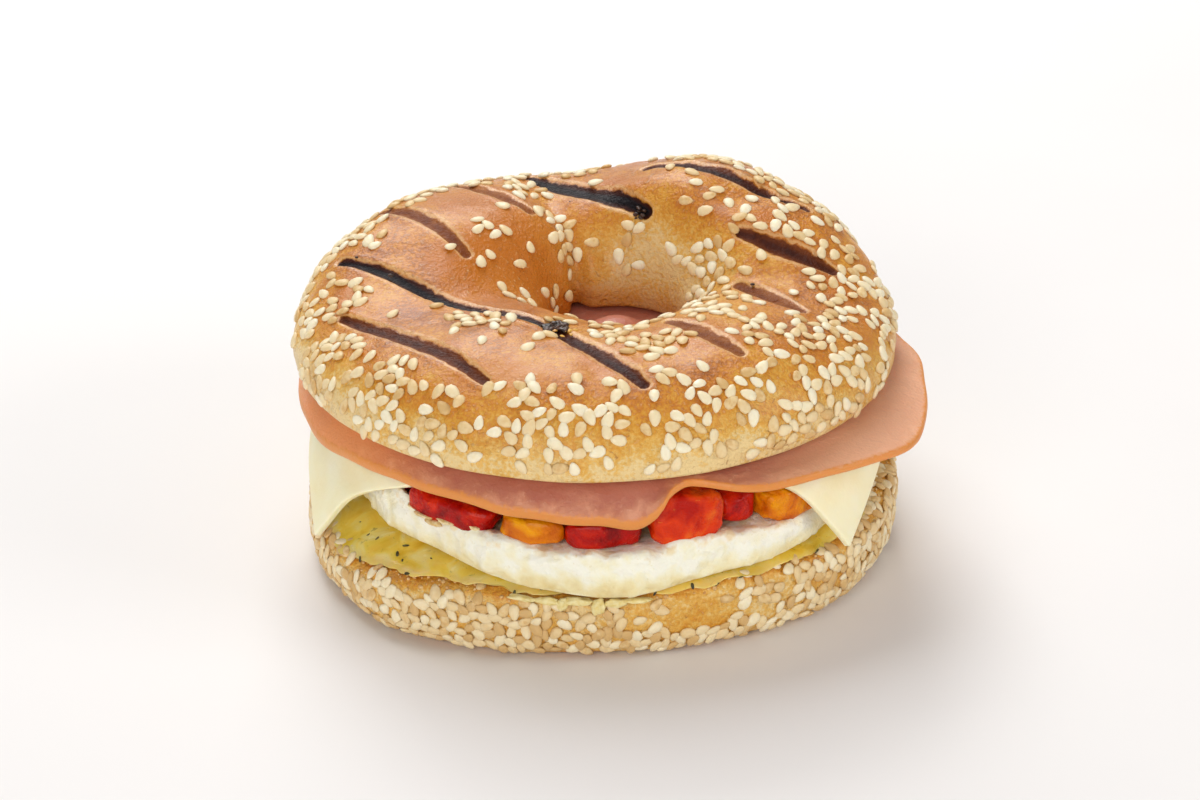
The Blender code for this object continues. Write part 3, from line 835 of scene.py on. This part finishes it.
EGG_AROUND = 420
EGG_RINGS = 60
EGG_WALL_SHARE = 0.5
EGG_ROUND_R = 1.8
EGG_RIM_FROM = 45.0
EGG_RIM_RISE = 1.9
EGG_CURDS = ((0.6, 7.0, 3.0), (0.6, 3.2, 6.0), (0.3, 1.4, 1.0))


def egg_reach(azimuth):
    a = math.radians(azimuth)
    ruffle = 0.6 * math.sin(7 * a + 0.4) + 0.4 * math.sin(12 * a)
    return EGG_REACH + ruffle + lobes(azimuth, EGG_LOBES)


def egg_rim_rise(azimuth):
    """How far the rim stands up: all along the front, but not under the peppers at the right."""
    return EGG_RIM_RISE * (1.0 - 1.3 * bump(azimuth, 322, 22))


def egg_point(azimuth, share, side):
    """Flat faces out to the rounded rim, with half of the rings spent on the rim."""
    half = 0.5 * (EGG_TOP - EGG_BOTTOM)
    reach = egg_reach(azimuth)
    if share < EGG_WALL_SHARE:
        radius = (reach - EGG_ROUND_R) * (share / EGG_WALL_SHARE)
        up = 1.0
    else:
        turn = 0.5 * math.pi * (share - EGG_WALL_SHARE) / (1.0 - EGG_WALL_SHARE)
        radius = reach - EGG_ROUND_R * (1.0 - math.sin(turn) ** 0.7)
        up = math.cos(turn) ** 0.5
    droop = EGG_DROOP * bump(azimuth, EGG_DROOP_AT, EGG_DROOP_WIDTH)
    droop *= smooth((radius - EGG_DROOP_START) / EGG_DROOP_RUN)
    rise = egg_rim_rise(azimuth) * max(0, side) * up * between(radius, EGG_RIM_FROM, reach - 1.0)
    rim = polar(reach, azimuth, 0.0)
    rise *= 1.0 + 0.5 * lumps(rim, 6.0, 80.0) + 0.4 * lumps(rim, 2.5, 81.0)
    return polar(radius, azimuth, EGG_BOTTOM + half + side * up * half + rise - droop)


def egg_relief(place, normal):
    """Soft curds on the wall and the top, and flatter ones below."""
    curds = layered(place, EGG_CURDS)
    if normal.z < -0.5:
        return 0.2 * curds
    return curds


SPREAD_AROUND = 420
SPREAD_ALONG = 90
SPREAD_WAVES = ((0.4, 6.0, 17.0), (0.08, 1.9, 19.0))


def spread_reach(azimuth):
    a = math.radians(azimuth)
    drips = 0.4 * math.sin(9 * a) + 0.3 * math.sin(14 * a + 1.0)
    return SPREAD_REACH + drips + lobes(azimuth, SPREAD_LOBES)


def spread_section(azimuth, share):
    """The spread's section: out to its soft ragged lip, and back underneath along the bread."""
    rim = polar(SPREAD_REACH, azimuth, 0.0)
    reach = spread_reach(azimuth) + 1.1 * lumps(rim, 5.0, 50.0) + 0.7 * lumps(rim, 2.0, 51.0)
    thick = SPREAD_THICKNESS + 0.35 * lumps(rim, 5.0, 60.0)
    inner = (SPREAD_INNER_R, 26.0, 36.0, HEEL_SAG_START, 0.5 * (HEEL_SAG_START + reach))
    loop = []
    for radius in (*inner, reach - 1.0):
        thinned = thick * (1.0 - 0.45 * between(radius, reach - 4.0, reach))
        loop.append((radius, heel_top(azimuth, radius) + SPREAD_GAP + thinned))
    loop.append((reach, heel_top(azimuth, reach) + SPREAD_GAP + 0.25 * thick))
    for radius in (reach - 0.6, *reversed(inner)):
        loop.append((radius, heel_top(azimuth, radius) + SPREAD_GAP))
    radius, height = spline_loop(loop, -share)
    return polar(radius, azimuth, height)


def spread_margin(place):
    """1 along the spread's ragged edge, where it is thin, and 0 further in."""
    reach = spread_reach(azimuth_of(place))
    return between(radius_of(place), reach - 3.0, reach + 0.4)


def spread_relief(place, normal):
    if normal.z < 0.0:
        return 0.0
    return layered(place, SPREAD_WAVES)


# Peppers

# Name, first and last azimuth, distance from the axis, height, depth, thickness, roll
PEPPERS = (
    ("pepper_red_left", 226, 248, 43.0, 25.9, 14, 5.6, 4),
    ("pepper_yellow_middle", 249, 263.5, 43.8, 25.9, 13, 5.2, 4),
    ("pepper_red_middle", 263, 279, 44.3, 26.0, 13, 5.6, 4),
    ("pepper_red_standing", 281, 296.5, 47.3, 27.6, 6.4, 9.2, 0),
    ("pepper_dark_red", 297, 306.5, 41.5, 26.4, 14, 6.4, 0),
    ("pepper_yellow_right", 306.5, 326, 45.4, 26.0, 13, 7.0, 6),
    ("pepper_red_right", 328, 360, 38.5, 26.2, 15, 6.0, 0),
    ("pepper_yellow_back_right", 4, 34, 38.0, 26.2, 16, 6.0, 3),
    ("pepper_red_back", 38, 80, 38.0, 26.2, 16, 6.0, -3),
    ("pepper_yellow_back", 84, 116, 38.5, 26.2, 15, 6.0, 2),
    ("pepper_red_back_left", 120, 162, 38.0, 26.2, 16, 6.0, -2),
    ("pepper_yellow_left", 166, 196, 38.0, 26.2, 15, 6.0, 3),
    ("pepper_red_side", 199, 223, 38.5, 26.2, 15, 6.0, 3),
)
PEPPER_FULLNESS = 0.42

# The flesh from dark to light, and its blisters
PEPPER_COLOURS = {
    "pepper_red": ((0.18, 0.001, 0.001), (0.44, 0.004, 0.001), (0.68, 0.022, 0.001), (0.74, 0.12, 0.005)),
    "pepper_yellow": ((0.52, 0.09, 0.001), (0.72, 0.19, 0.001), (0.88, 0.36, 0.002), (0.58, 0.15, 0.005)),
    "pepper_bright": ((0.46, 0.008, 0.001), (0.72, 0.04, 0.003), (0.84, 0.14, 0.008), (0.86, 0.3, 0.03)),
}


def pepper_piece(name, start, end, distance, height, depth, thickness, roll, material, slot):
    """A soft strip of roast pepper, rounded at its edges, wrinkled and bent along the ring."""
    bpy.ops.mesh.primitive_uv_sphere_add(segments=64, ring_count=36, radius=1.0)
    piece = bpy.context.object
    piece.name = name
    half_span = 0.5 * (end - start)
    lean = Matrix.Rotation(math.radians(roll), 3, "X")
    seed = start * 0.37
    for vertex in piece.data.vertices:
        x, y, z = (math.copysign(abs(value) ** PEPPER_FULLNESS, value) for value in vertex.co)
        local = lean @ Vector((0.0, 0.5 * depth * y, 0.5 * thickness * z))
        azimuth = 0.5 * (start + end) + half_span * x
        vertex.co = MM * polar(distance - local.y, azimuth, height + local.z)

    def wrinkles(place, normal):
        ridge = 1.0 - abs(lumps(place, 4.0, seed))
        return 0.7 * lumps(place, 5.0, seed) + 0.9 * (ridge - 0.75) + 0.2 * lumps(place, 1.5, seed)

    emboss(piece, wrinkles)
    settle(piece, material, slot, name)


# Scattered things


def scatter_tree():
    """A geometry tree that lays small drop-shaped things flat on a surface, by a seeded rule.

    The surface's attribute named by Where says how thickly they lie. Each keeps a random number
    in the attribute "tone", which its material reads.
    """
    tree = bpy.data.node_groups.new("Scatter", "GeometryNodeTree")
    tree.interface.new_socket("Geometry", in_out="INPUT", socket_type="NodeSocketGeometry")
    for label in ("Spacing", "Length", "Width", "Thickness", "Taper", "Lift", "Tilt", "Smallest"):
        tree.interface.new_socket(label, in_out="INPUT", socket_type="NodeSocketFloat")
    tree.interface.new_socket("Where", in_out="INPUT", socket_type="NodeSocketString")
    tree.interface.new_socket("Seed", in_out="INPUT", socket_type="NodeSocketInt")
    tree.interface.new_socket("Finish", in_out="INPUT", socket_type="NodeSocketMaterial")
    tree.interface.new_socket("Geometry", in_out="OUTPUT", socket_type="NodeSocketGeometry")
    given = tree.nodes.new("NodeGroupInput").outputs
    result = tree.nodes.new("NodeGroupOutput")

    room = add(tree, "GeometryNodeInputNamedAttribute", {"Name": given["Where"]}, data_type="FLOAT")
    places = add(
        tree, "GeometryNodeDistributePointsOnFaces",
        {
            "Mesh": given["Geometry"], "Distance Min": given["Spacing"], "Density Max": 2.0e6,
            "Density Factor": room.outputs["Attribute"], "Seed": given["Seed"],
        },
        distribute_method="POISSON",
    )

    ball = add(tree, "GeometryNodeMeshUVSphere", {"Segments": 10, "Rings": 6, "Radius": 1.0})
    position = add(tree, "GeometryNodeInputPosition").outputs[0]
    parts = add(tree, "ShaderNodeSeparateXYZ", {0: position}).outputs
    half = {label: times(tree, given[label], 0.5) for label in ("Length", "Width", "Thickness")}
    narrow = maths(tree, "MULTIPLY_ADD", parts[0], times(tree, given["Taper"], -1.0), 1.0)
    x = times(tree, parts[0], half["Length"])
    y = times(tree, times(tree, parts[1], narrow), half["Width"])
    z = maths(tree, "MULTIPLY_ADD", parts[2], half["Thickness"], given["Lift"])
    moved = add(tree, "ShaderNodeCombineXYZ", {0: x, 1: y, 2: z}).outputs[0]
    drop = add(tree, "GeometryNodeSetPosition", {"Geometry": ball.outputs["Mesh"], "Position": moved})

    other_way = times(tree, given["Tilt"], -1.0)
    lowest = add(tree, "ShaderNodeCombineXYZ", {0: other_way, 1: other_way, 2: 0.0})
    highest = add(tree, "ShaderNodeCombineXYZ", {0: given["Tilt"], 1: given["Tilt"], 2: math.tau})
    turn = add(
        tree, "FunctionNodeRandomValue",
        {"Min": lowest.outputs[0], "Max": highest.outputs[0], "Seed": given["Seed"]},
        data_type="FLOAT_VECTOR",
    )
    spin = add(tree, "FunctionNodeEulerToRotation", {0: turn.outputs[0]})
    facing = add(
        tree, "FunctionNodeRotateRotation",
        {0: places.outputs["Rotation"], 1: spin.outputs[0]}, rotation_space="LOCAL",
    )
    extremes = {2: given["Smallest"], 3: LARGEST, "Seed": given["Seed"]}
    size = add(tree, "FunctionNodeRandomValue", extremes, data_type="FLOAT")
    laid = add(
        tree, "GeometryNodeInstanceOnPoints",
        {
            "Points": places.outputs["Points"], "Instance": drop.outputs["Geometry"],
            "Rotation": facing.outputs[0], "Scale": size.outputs[1],
        },
    )
    tone = add(tree, "FunctionNodeRandomValue", data_type="FLOAT")
    kept = add(
        tree, "GeometryNodeStoreNamedAttribute",
        {"Geometry": laid.outputs["Instances"], "Name": "tone", "Value": tone.outputs[1]},
        data_type="FLOAT", domain="INSTANCE",
    )
    real = add(tree, "GeometryNodeRealizeInstances", {"Geometry": kept.outputs["Geometry"]})
    rounded = add(tree, "GeometryNodeSetShadeSmooth", {"Geometry": real.outputs["Geometry"]})
    finished = add(
        tree, "GeometryNodeSetMaterial",
        {"Geometry": rounded.outputs["Geometry"], "Material": given["Finish"]},
    )
    tree.links.new(finished.outputs["Geometry"], result.inputs["Geometry"])
    return tree


def scatter(tree, surface, name, slot, material, settings):
    """Run the scatter tree on a surface, and keep what it lays as a piece of its own."""
    values = {label: MM * value if label in LENGTH_INPUTS else value for label, value in settings.items()}
    values["Finish"] = material
    modifier = surface.modifiers.new(name, "NODES")
    modifier.node_group = tree
    for item in tree.interface.items_tree:
        if item.in_out == "INPUT" and item.name in values:
            modifier[item.identifier] = values[item.name]
    graph = bpy.context.evaluated_depsgraph_get()
    mesh = bpy.data.meshes.new_from_object(surface.evaluated_get(graph))
    surface.modifiers.remove(modifier)
    hand_over(link(bpy.data.objects.new(name, mesh)), slot)


# Finishes


CRUST_SHINE = 0.28
CRUST_COAT = 0.4


def crust_finish(name, marks):
    """Baked dough: pale to deep brown, with pores, fine wrinkles and black grill marks."""
    material, tree, shader, place = new_finish(name, CRUST_SHINE, CRUST_COAT, 0.3)
    broad = spots(tree, place, 9.0, 4.0)
    middle = spots(tree, place, 3.0, 4.0, 0.4)
    fine = spots(tree, place, 0.7, 6.0)
    brown = plus(tree, painted(tree, "bake"), swing(tree, broad, -0.22, 0.22))
    brown = plus(tree, brown, swing(tree, middle, -0.09, 0.09))
    brown = plus(tree, brown, fade(tree, fine, 0.32, 0.68, -0.2, 0.2))
    colour = tint(tree, brown, (
        (0.0, (0.85, 0.63, 0.29)), (0.22, (0.80, 0.47, 0.10)), (0.46, (0.72, 0.33, 0.03)),
        (0.7, (0.62, 0.215, 0.016)), (1.0, (0.36, 0.10, 0.012)),
    ))
    colour = mix(tree, painted(tree, "amber"), colour, (0.57, 0.165, 0.003))
    pale_dots = fade(tree, spots(tree, place, 0.7, 2.0), 0.62, 0.72, 0.0, 0.4)
    colour = mix(tree, pale_dots, colour, (0.86, 0.60, 0.27))
    dark_dots = fade(tree, spots(tree, place, 1.3, 3.0, 1.0), 0.68, 0.74, 0.0, 0.55)
    colour = mix(tree, dark_dots, colour, (0.36, 0.13, 0.035))
    roughness = fade(tree, brown, 0.1, 0.8, 0.55, 0.34)
    wrinkles = plus(tree, spots(tree, place, 1.4, 4.0, 0.8), times(tree, fine, 0.9))
    grit = spots(tree, place, 0.42, 2.0)
    wrinkles = maths(tree, "MULTIPLY_ADD", grit, 0.5, wrinkles)
    if marks:
        wobble = plus(tree, swing(tree, middle, -0.2, 0.2), swing(tree, fine, -0.06, 0.06))
        gap = plus(tree, painted(tree, "mark_gap"), wobble)
        flaky = times(tree, fade(tree, gap, 0.88, 1.0), fade(tree, gap, 1.1, 1.4, 0.6, 0.0))
        colour = mix(tree, flaky, colour, (0.80, 0.50, 0.22))
        inside = fade(tree, gap, 0.74, 0.92, 1.0, 0.0)
        tone = times(tree, painted(tree, "mark_black"), fade(tree, gap, 0.15, 0.85, 1.0, 0.62))
        tone = plus(tree, tone, swing(tree, middle, -0.16, 0.12))
        burnt = tint(tree, tone, (
            (0.0, (0.42, 0.15, 0.035)), (0.3, (0.20, 0.05, 0.012)), (0.6, (0.07, 0.016, 0.008)),
            (0.9, (0.010, 0.008, 0.011)),
        ))
        colour = mix(tree, inside, colour, burnt)
        burnt_shine = fade(tree, inside, 0.0, 1.0, CRUST_SHINE, 0.3 * CRUST_SHINE)
        burnt_coat = fade(tree, inside, 0.0, 1.0, CRUST_COAT, 0.1 * CRUST_COAT)
        tree.links.new(burnt_shine, shader.inputs["Specular IOR Level"])
        tree.links.new(burnt_coat, shader.inputs["Coat Weight"])
        wrinkles = plus(tree, wrinkles, times(tree, inside, middle))
    dress(tree, shader, colour, roughness, wrinkles, 0.45)
    return material


def seed_finish(name, paler):
    """Sesame seeds, each with a tone of its own; paler shifts them all."""
    look = new_finish(name, specular=0.35, glow=0.1, glow_reach=(1.0, 0.7, 0.4))
    material, tree, shader, place = look
    patchy = swing(tree, spots(tree, place, 1.2, 2.0), paler - 0.12, paler + 0.12)
    tone = plus(tree, painted(tree, "tone"), patchy)
    colour = tint(tree, tone, (
        (0.0, (0.68, 0.44, 0.18)), (0.1, (0.79, 0.57, 0.28)), (0.35, (0.85, 0.67, 0.39)),
        (0.7, (0.91, 0.78, 0.52)), (1.0, (0.94, 0.86, 0.65)),
    ))
    dress(tree, shader, colour, fade(tree, tone, 0.0, 1.0, 0.46, 0.34), spots(tree, place, 0.5, 3.0), 0.1)
    return material


def ham_finish():
    look = new_finish("ham", specular=0.4, glow=0.25, glow_reach=(1.2, 0.45, 0.3))
    material, tree, shader, place = look
    grain = spots(tree, place, 4.0, 5.0, 0.8)
    veins = spots(tree, place, 0.8, 4.0, 0.5)
    colour = tint(tree, grain, (
        (0.3, (0.54, 0.175, 0.09)), (0.5, (0.62, 0.24, 0.13)), (0.7, (0.72, 0.33, 0.20)),
    ))
    colour = mix(tree, fade(tree, veins, 0.6, 0.72, 0.0, 0.4), colour, (0.84, 0.52, 0.38))
    rim = plus(tree, painted(tree, "out"), swing(tree, veins, -0.02, 0.02))
    # Painted shade: further in from its rim the ham turns darker and mauve, where it lies in shade under
    # the top half.
    shade_under_crown = plus(tree, rim, swing(tree, grain, -0.05, 0.05))
    colour = mix(tree, fade(tree, shade_under_crown, 0.82, 0.93, 0.7, 0.0), colour, (0.48, 0.15, 0.11))
    # Painted light: paler towards the right, where the ham's open flare catches the light.
    colour = mix(tree, times(tree, painted(tree, "pale"), 0.75), colour, (0.84, 0.47, 0.28))
    colour = mix(tree, times(tree, painted(tree, "golden"), 0.85), colour, (0.90, 0.36, 0.13))
    colour = mix(tree, fade(tree, rim, 0.925, 0.965), colour, (0.74, 0.28, 0.06))
    roughness = swing(tree, grain, 0.32, 0.46)
    dress(tree, shader, colour, roughness, plus(tree, grain, veins), 0.16)
    return material


def cheese_finish():
    look = new_finish("cheese", specular=0.35, glow=0.3, glow_reach=(1.2, 0.9, 0.5))
    material, tree, shader, place = look
    cloud = spots(tree, place, 8.0, 3.0)
    colour = tint(tree, cloud, (
        (0.3, (0.94, 0.84, 0.51)), (0.55, (0.97, 0.90, 0.61)), (0.75, (0.98, 0.93, 0.69)),
    ))
    roughness = swing(tree, cloud, 0.36, 0.46)
    dress(tree, shader, colour, roughness, spots(tree, place, 1.6, 4.0), 0.08)
    return material


def egg_finish():
    look = new_finish("egg_white", specular=0.4, glow=0.3, glow_reach=(1.0, 0.9, 0.7))
    material, tree, shader, place = look
    curd = spots(tree, place, 3.2, 4.0)
    pores = spots(tree, place, 0.8, 3.0)
    white = plus(tree, curd, painted(tree, "height"))
    colour = tint(tree, white, (
        (0.35, (0.78, 0.62, 0.28)), (0.62, (0.88, 0.78, 0.46)), (0.85, (0.94, 0.89, 0.66)),
        (1.05, (0.96, 0.94, 0.80)),
    ))
    colour = mix(tree, fade(tree, pores, 0.64, 0.72, 0.0, 0.45), colour, (0.78, 0.70, 0.42))
    seared = times(tree, painted(tree, "seared"), fade(tree, curd, 0.5, 0.6, 0.0, 0.6))
    colour = mix(tree, seared, colour, (0.82, 0.62, 0.28))
    colour = mix(tree, painted(tree, "inside"), colour, (0.86, 0.66, 0.30))
    roughness = swing(tree, curd, 0.42, 0.3)
    relief = plus(tree, times(tree, curd, 1.6), pores)
    dress(tree, shader, colour, roughness, relief, 0.2)
    return material


def spread_finish():
    material, tree, shader, place = new_finish("herb_spread", coat=0.2, coat_roughness=0.12, glow=0.3)
    cloud = spots(tree, place, 5.0, 4.0, 0.6)
    herbs = spots(tree, place, 1.1, 3.0, 1.0)
    colour = tint(tree, cloud, (
        (0.3, (0.82, 0.51, 0.03)), (0.5, (0.94, 0.68, 0.10)), (0.7, (0.96, 0.84, 0.38)),
    ))
    colour = mix(tree, fade(tree, herbs, 0.64, 0.74, 0.0, 0.6), colour, (0.24, 0.20, 0.03))
    thin = plus(tree, painted(tree, "margin"), swing(tree, cloud, -0.3, 0.3))
    colour = mix(tree, fade(tree, thin, 0.3, 0.9, 0.0, 0.75), colour, (0.80, 0.56, 0.17))
    dress(tree, shader, colour, swing(tree, cloud, 0.16, 0.3), cloud, 0.22)
    return material


def pepper_finish(name, dark, middle, light, blister):
    material, tree, shader, place = new_finish(name, specular=0.1, coat=0.2, coat_roughness=0.06)
    flesh = spots(tree, place, 4.5, 4.0, 0.6)
    fine = spots(tree, place, 1.1, 4.0, 0.5)
    colour = tint(tree, flesh, ((0.32, dark), (0.5, middle), (0.68, light)))
    colour = mix(tree, fade(tree, fine, 0.66, 0.76, 0.0, 0.6), colour, blister)
    relief = plus(tree, flesh, times(tree, fine, 0.5))
    dress(tree, shader, colour, swing(tree, fine, 0.2, 0.4), relief, 0.8)
    return material


def fleck_finish(name, dark, light, specular=0.4):
    material, tree, shader, place = new_finish(name, specular=specular)
    tone = spots(tree, place, 0.9, 3.0)
    colour = tint(tree, tone, ((0.35, dark), (0.65, light)))
    dress(tree, shader, colour, swing(tree, tone, 0.3, 0.55), tone, 0.3)
    return material


# The pieces


def build_crown(tree, seed_look):
    crown = ring_piece("crust_top", CROWN_AROUND, CROWN_ALONG, crown_section)
    paint(crown, "bake", baked)
    paint(crown, "amber", ambered)
    paint(crown, "room", crown_seed_room)
    paint(crown, "mark_gap", lambda place: nearest_mark(place)[0])
    paint(crown, "mark_black", lambda place: nearest_mark(place)[1])
    emboss(crown, crust_relief)
    settle(crown, crust_finish("top_crust", True), "crust", "bagel_top")
    scatter(tree, crown, "top_seeds", "crust", seed_look, TOP_SEEDS)


def build_heel(tree, seed_look):
    heel = ring_piece("crust_bottom", HEEL_AROUND, HEEL_ALONG, heel_section)
    paint(heel, "bake", heel_baked)
    paint(heel, "amber", lambda place: 0.0)
    paint(heel, "room", heel_seed_room)
    paint(heel, "crumb", heel_crumb_room)
    emboss(heel, heel_relief)
    settle(heel, crust_finish("bottom_crust", False), "crust", "bagel_bottom")
    scatter(tree, heel, "bottom_seeds", "crust", seed_look, BOTTOM_SEEDS)
    crumb_look = fleck_finish("crumbs", (0.58, 0.28, 0.07), (0.84, 0.60, 0.28))
    scatter(tree, heel, "crumbs", "crust", crumb_look, CRUMBS)


def build_spread(tree):
    spread = ring_piece("spread", SPREAD_AROUND, SPREAD_ALONG, spread_section)
    paint(spread, "room", lambda place: 0.4 * between(radius_of(place), 42.0, 47.0))
    paint(spread, "margin", spread_margin)
    emboss(spread, spread_relief)
    settle(spread, spread_finish(), "spread", "herb_spread")
    herb_look = fleck_finish("herbs", (0.02, 0.022, 0.008), (0.12, 0.10, 0.03))
    scatter(tree, spread, "herb_flecks", "spread", herb_look, HERB_FLECKS)


def build_egg():
    egg = disc_piece("egg", EGG_AROUND, EGG_RINGS, egg_point)
    paint(egg, "seared", lambda place: between(place.z, EGG_TOP - 0.9, EGG_TOP - 0.2))
    paint(egg, "height", lambda place: 0.5 * between(place.z, EGG_BOTTOM - 1.0, EGG_TOP - 2.0))
    paint(egg, "inside", lambda place: 0.8 * (1.0 - between(radius_of(place), 43.5, 47.5)))
    emboss(egg, egg_relief)
    settle(egg, egg_finish(), "egg", "egg_patty")


def build_peppers():
    looks = {name: pepper_finish(name, *colours) for name, colours in PEPPER_COLOURS.items()}
    for strip in PEPPERS:
        slot = "pepper_yellow" if "yellow" in strip[0] else "pepper_red"
        look = "pepper_bright" if "standing" in strip[0] else slot
        pepper_piece(*strip, looks[look], slot)


def blobs_piece(name, material, slot, blobs):
    """One mesh of small uneven lumps: each has a place, its half sizes in mm and a turn."""
    rng = random.Random(name)
    shape = bmesh.new()
    for place, sizes, turn in blobs:
        made = bmesh.ops.create_icosphere(shape, subdivisions=3, radius=1.0)["verts"]
        spin = Matrix.Rotation(math.radians(turn), 3, "Z")
        seed = rng.uniform(0.0, 90.0)
        for vertex in made:
            swell = 1.0 + 0.35 * lumps(vertex.co, 0.8, seed) + 0.15 * lumps(vertex.co, 0.35, seed)
            local = Vector(part * size * swell for part, size in zip(vertex.co, sizes))
            vertex.co = MM * (place + spin @ local)
    settle(piece_from(shape, name), material, slot)


def build_bits():
    """Char on the crust, browned scraps on the egg, and cream where the spread oozes out."""
    rng = random.Random(7)

    def near(x, y, spread, low, high):
        """A bit on the crust near a place seen from above, with its half sizes and its turn."""
        return (
            crown_top_at(x + rng.uniform(-spread, spread), y + rng.uniform(-spread, spread)),
            tuple(rng.uniform(low, high) * part for part in (1.3, 0.9, 0.6)),
            rng.uniform(0.0, 180.0),
        )

    def heap(x, y, count, *sizes):
        return [near(x, y, *sizes) for _ in range(count)]

    char = [bit for place in CHAR_HEAPS for bit in heap(*place)]
    char += [near(x, y, *SPOT_SIZES) for x, y in CHAR_SPOTS]
    char += [near(x, y, *DUST_SIZES) for x, y in CHAR_DUST]
    black = fleck_finish("char", (0.012, 0.008, 0.006), (0.09, 0.03, 0.012), 0.5)
    blobs_piece("char_bits", black, "crust", char)
    gold = fleck_finish("gold_bits", (0.60, 0.26, 0.02), (0.80, 0.48, 0.08), 0.5)
    blobs_piece("gold_bits", gold, "crust", heap(*GOLD_HEAP))

    brown = fleck_finish("egg_scraps", (0.68, 0.43, 0.14), (0.88, 0.75, 0.44))
    blobs_piece("egg_scraps", brown, "egg", [
        (polar(reach, azimuth, height), (long, wide, SCRAP_HALF_THICKNESS), azimuth + 90.0)
        for azimuth, reach, height, long, wide in EGG_SCRAPS
    ])
    pale = fleck_finish("cream", (0.80, 0.63, 0.22), (0.88, 0.77, 0.40), 0.5)
    blobs_piece("cream_lumps", pale, "spread", [
        (polar(reach, azimuth, heel_top(azimuth, reach) + above), halves, azimuth + 90.0)
        for azimuth, reach, above, *halves in CREAM_LUMPS
    ])


def build_floor():
    bpy.ops.mesh.primitive_plane_add(size=FLOOR_SIDE, location=(0.0, 0.0, 0.0))
    floor = bpy.context.object
    floor.name = "floor"
    material, tree, shader, place = new_finish("floor", specular=0.1)
    grain = spots(tree, place, 60.0, 2.0)
    colour = tint(tree, grain, ((0.3, (0.86, 0.84, 0.83)), (0.7, (0.87, 0.852, 0.842))))
    dress(tree, shader, colour, swing(tree, grain, 0.6, 0.7), grain, 0.01)
    floor.data.materials.append(material)


def build_camera():
    """The photograph's view: from the front, looking down a little, with a long lens."""
    elevation = math.radians(CAMERA_ELEVATION)
    side = Vector((1.0, 0.0, 0.0))
    up = Vector((0.0, math.sin(elevation), math.cos(elevation)))
    back = Vector((0.0, -math.cos(elevation), math.sin(elevation)))
    aim = Vector(CAMERA_AIM) + AXIS_AT + CAMERA_SLIDE[0] * side + CAMERA_SLIDE[1] * up
    data = bpy.data.cameras.new("camera")
    data.lens = CAMERA_LENS
    data.sensor_width = 36.0
    data.clip_start = 0.01
    data.dof.use_dof = False
    camera = link(bpy.data.objects.new("camera", data))
    camera.location = MM * (aim + CAMERA_DISTANCE * back)
    camera.rotation_euler = (math.radians(90.0 - CAMERA_ELEVATION), 0.0, 0.0)
    bpy.context.scene.camera = camera


def area_light(name, place, size, power, colour):
    """A square soft light that faces the middle of the sandwich."""
    data = bpy.data.lights.new(name, "AREA")
    data.shape = "SQUARE"
    data.size = size
    data.energy = power
    data.color = colour
    lamp = link(bpy.data.objects.new(name, data))
    lamp.location = place
    lamp.rotation_euler = (Vector(LIGHTS_FACE) - lamp.location).to_track_quat("-Z", "Y").to_euler()


def build_light():
    world = bpy.data.worlds.new("studio")
    world.use_nodes = True
    background = world.node_tree.nodes["Background"]
    background.inputs["Color"].default_value = STUDIO_COLOUR
    background.inputs["Strength"].default_value = STUDIO_STRENGTH
    bpy.context.scene.world = world
    for light in LIGHTS:
        area_light(*light)
    bpy.context.scene.view_settings.view_transform = "Standard"


def build():
    tree = scatter_tree()
    build_crown(tree, seed_finish("top_sesame", -0.05))
    build_heel(tree, seed_finish("bottom_sesame", -0.22))

    ham = disc_piece("ham_sheet", HAM_AROUND, HAM_RINGS, ham_point)
    # Painted light: the ham is paler towards the right, where its open flare catches the light.
    paint(ham, "pale", lambda place: between(place.x, 20.0, 46.0))
    paint(ham, "golden", lambda place: between(-place.x, 26.0, 46.0))
    settle(ham, ham_finish(), "ham", "ham_slice")
    cheese = cheese_finish()
    for slice_values in CHEESES:
        cheese_piece(*slice_values, cheese)
    build_egg()
    build_spread(tree)
    build_peppers()
    build_bits()

    build_floor()
    build_camera()
    build_light()


build()
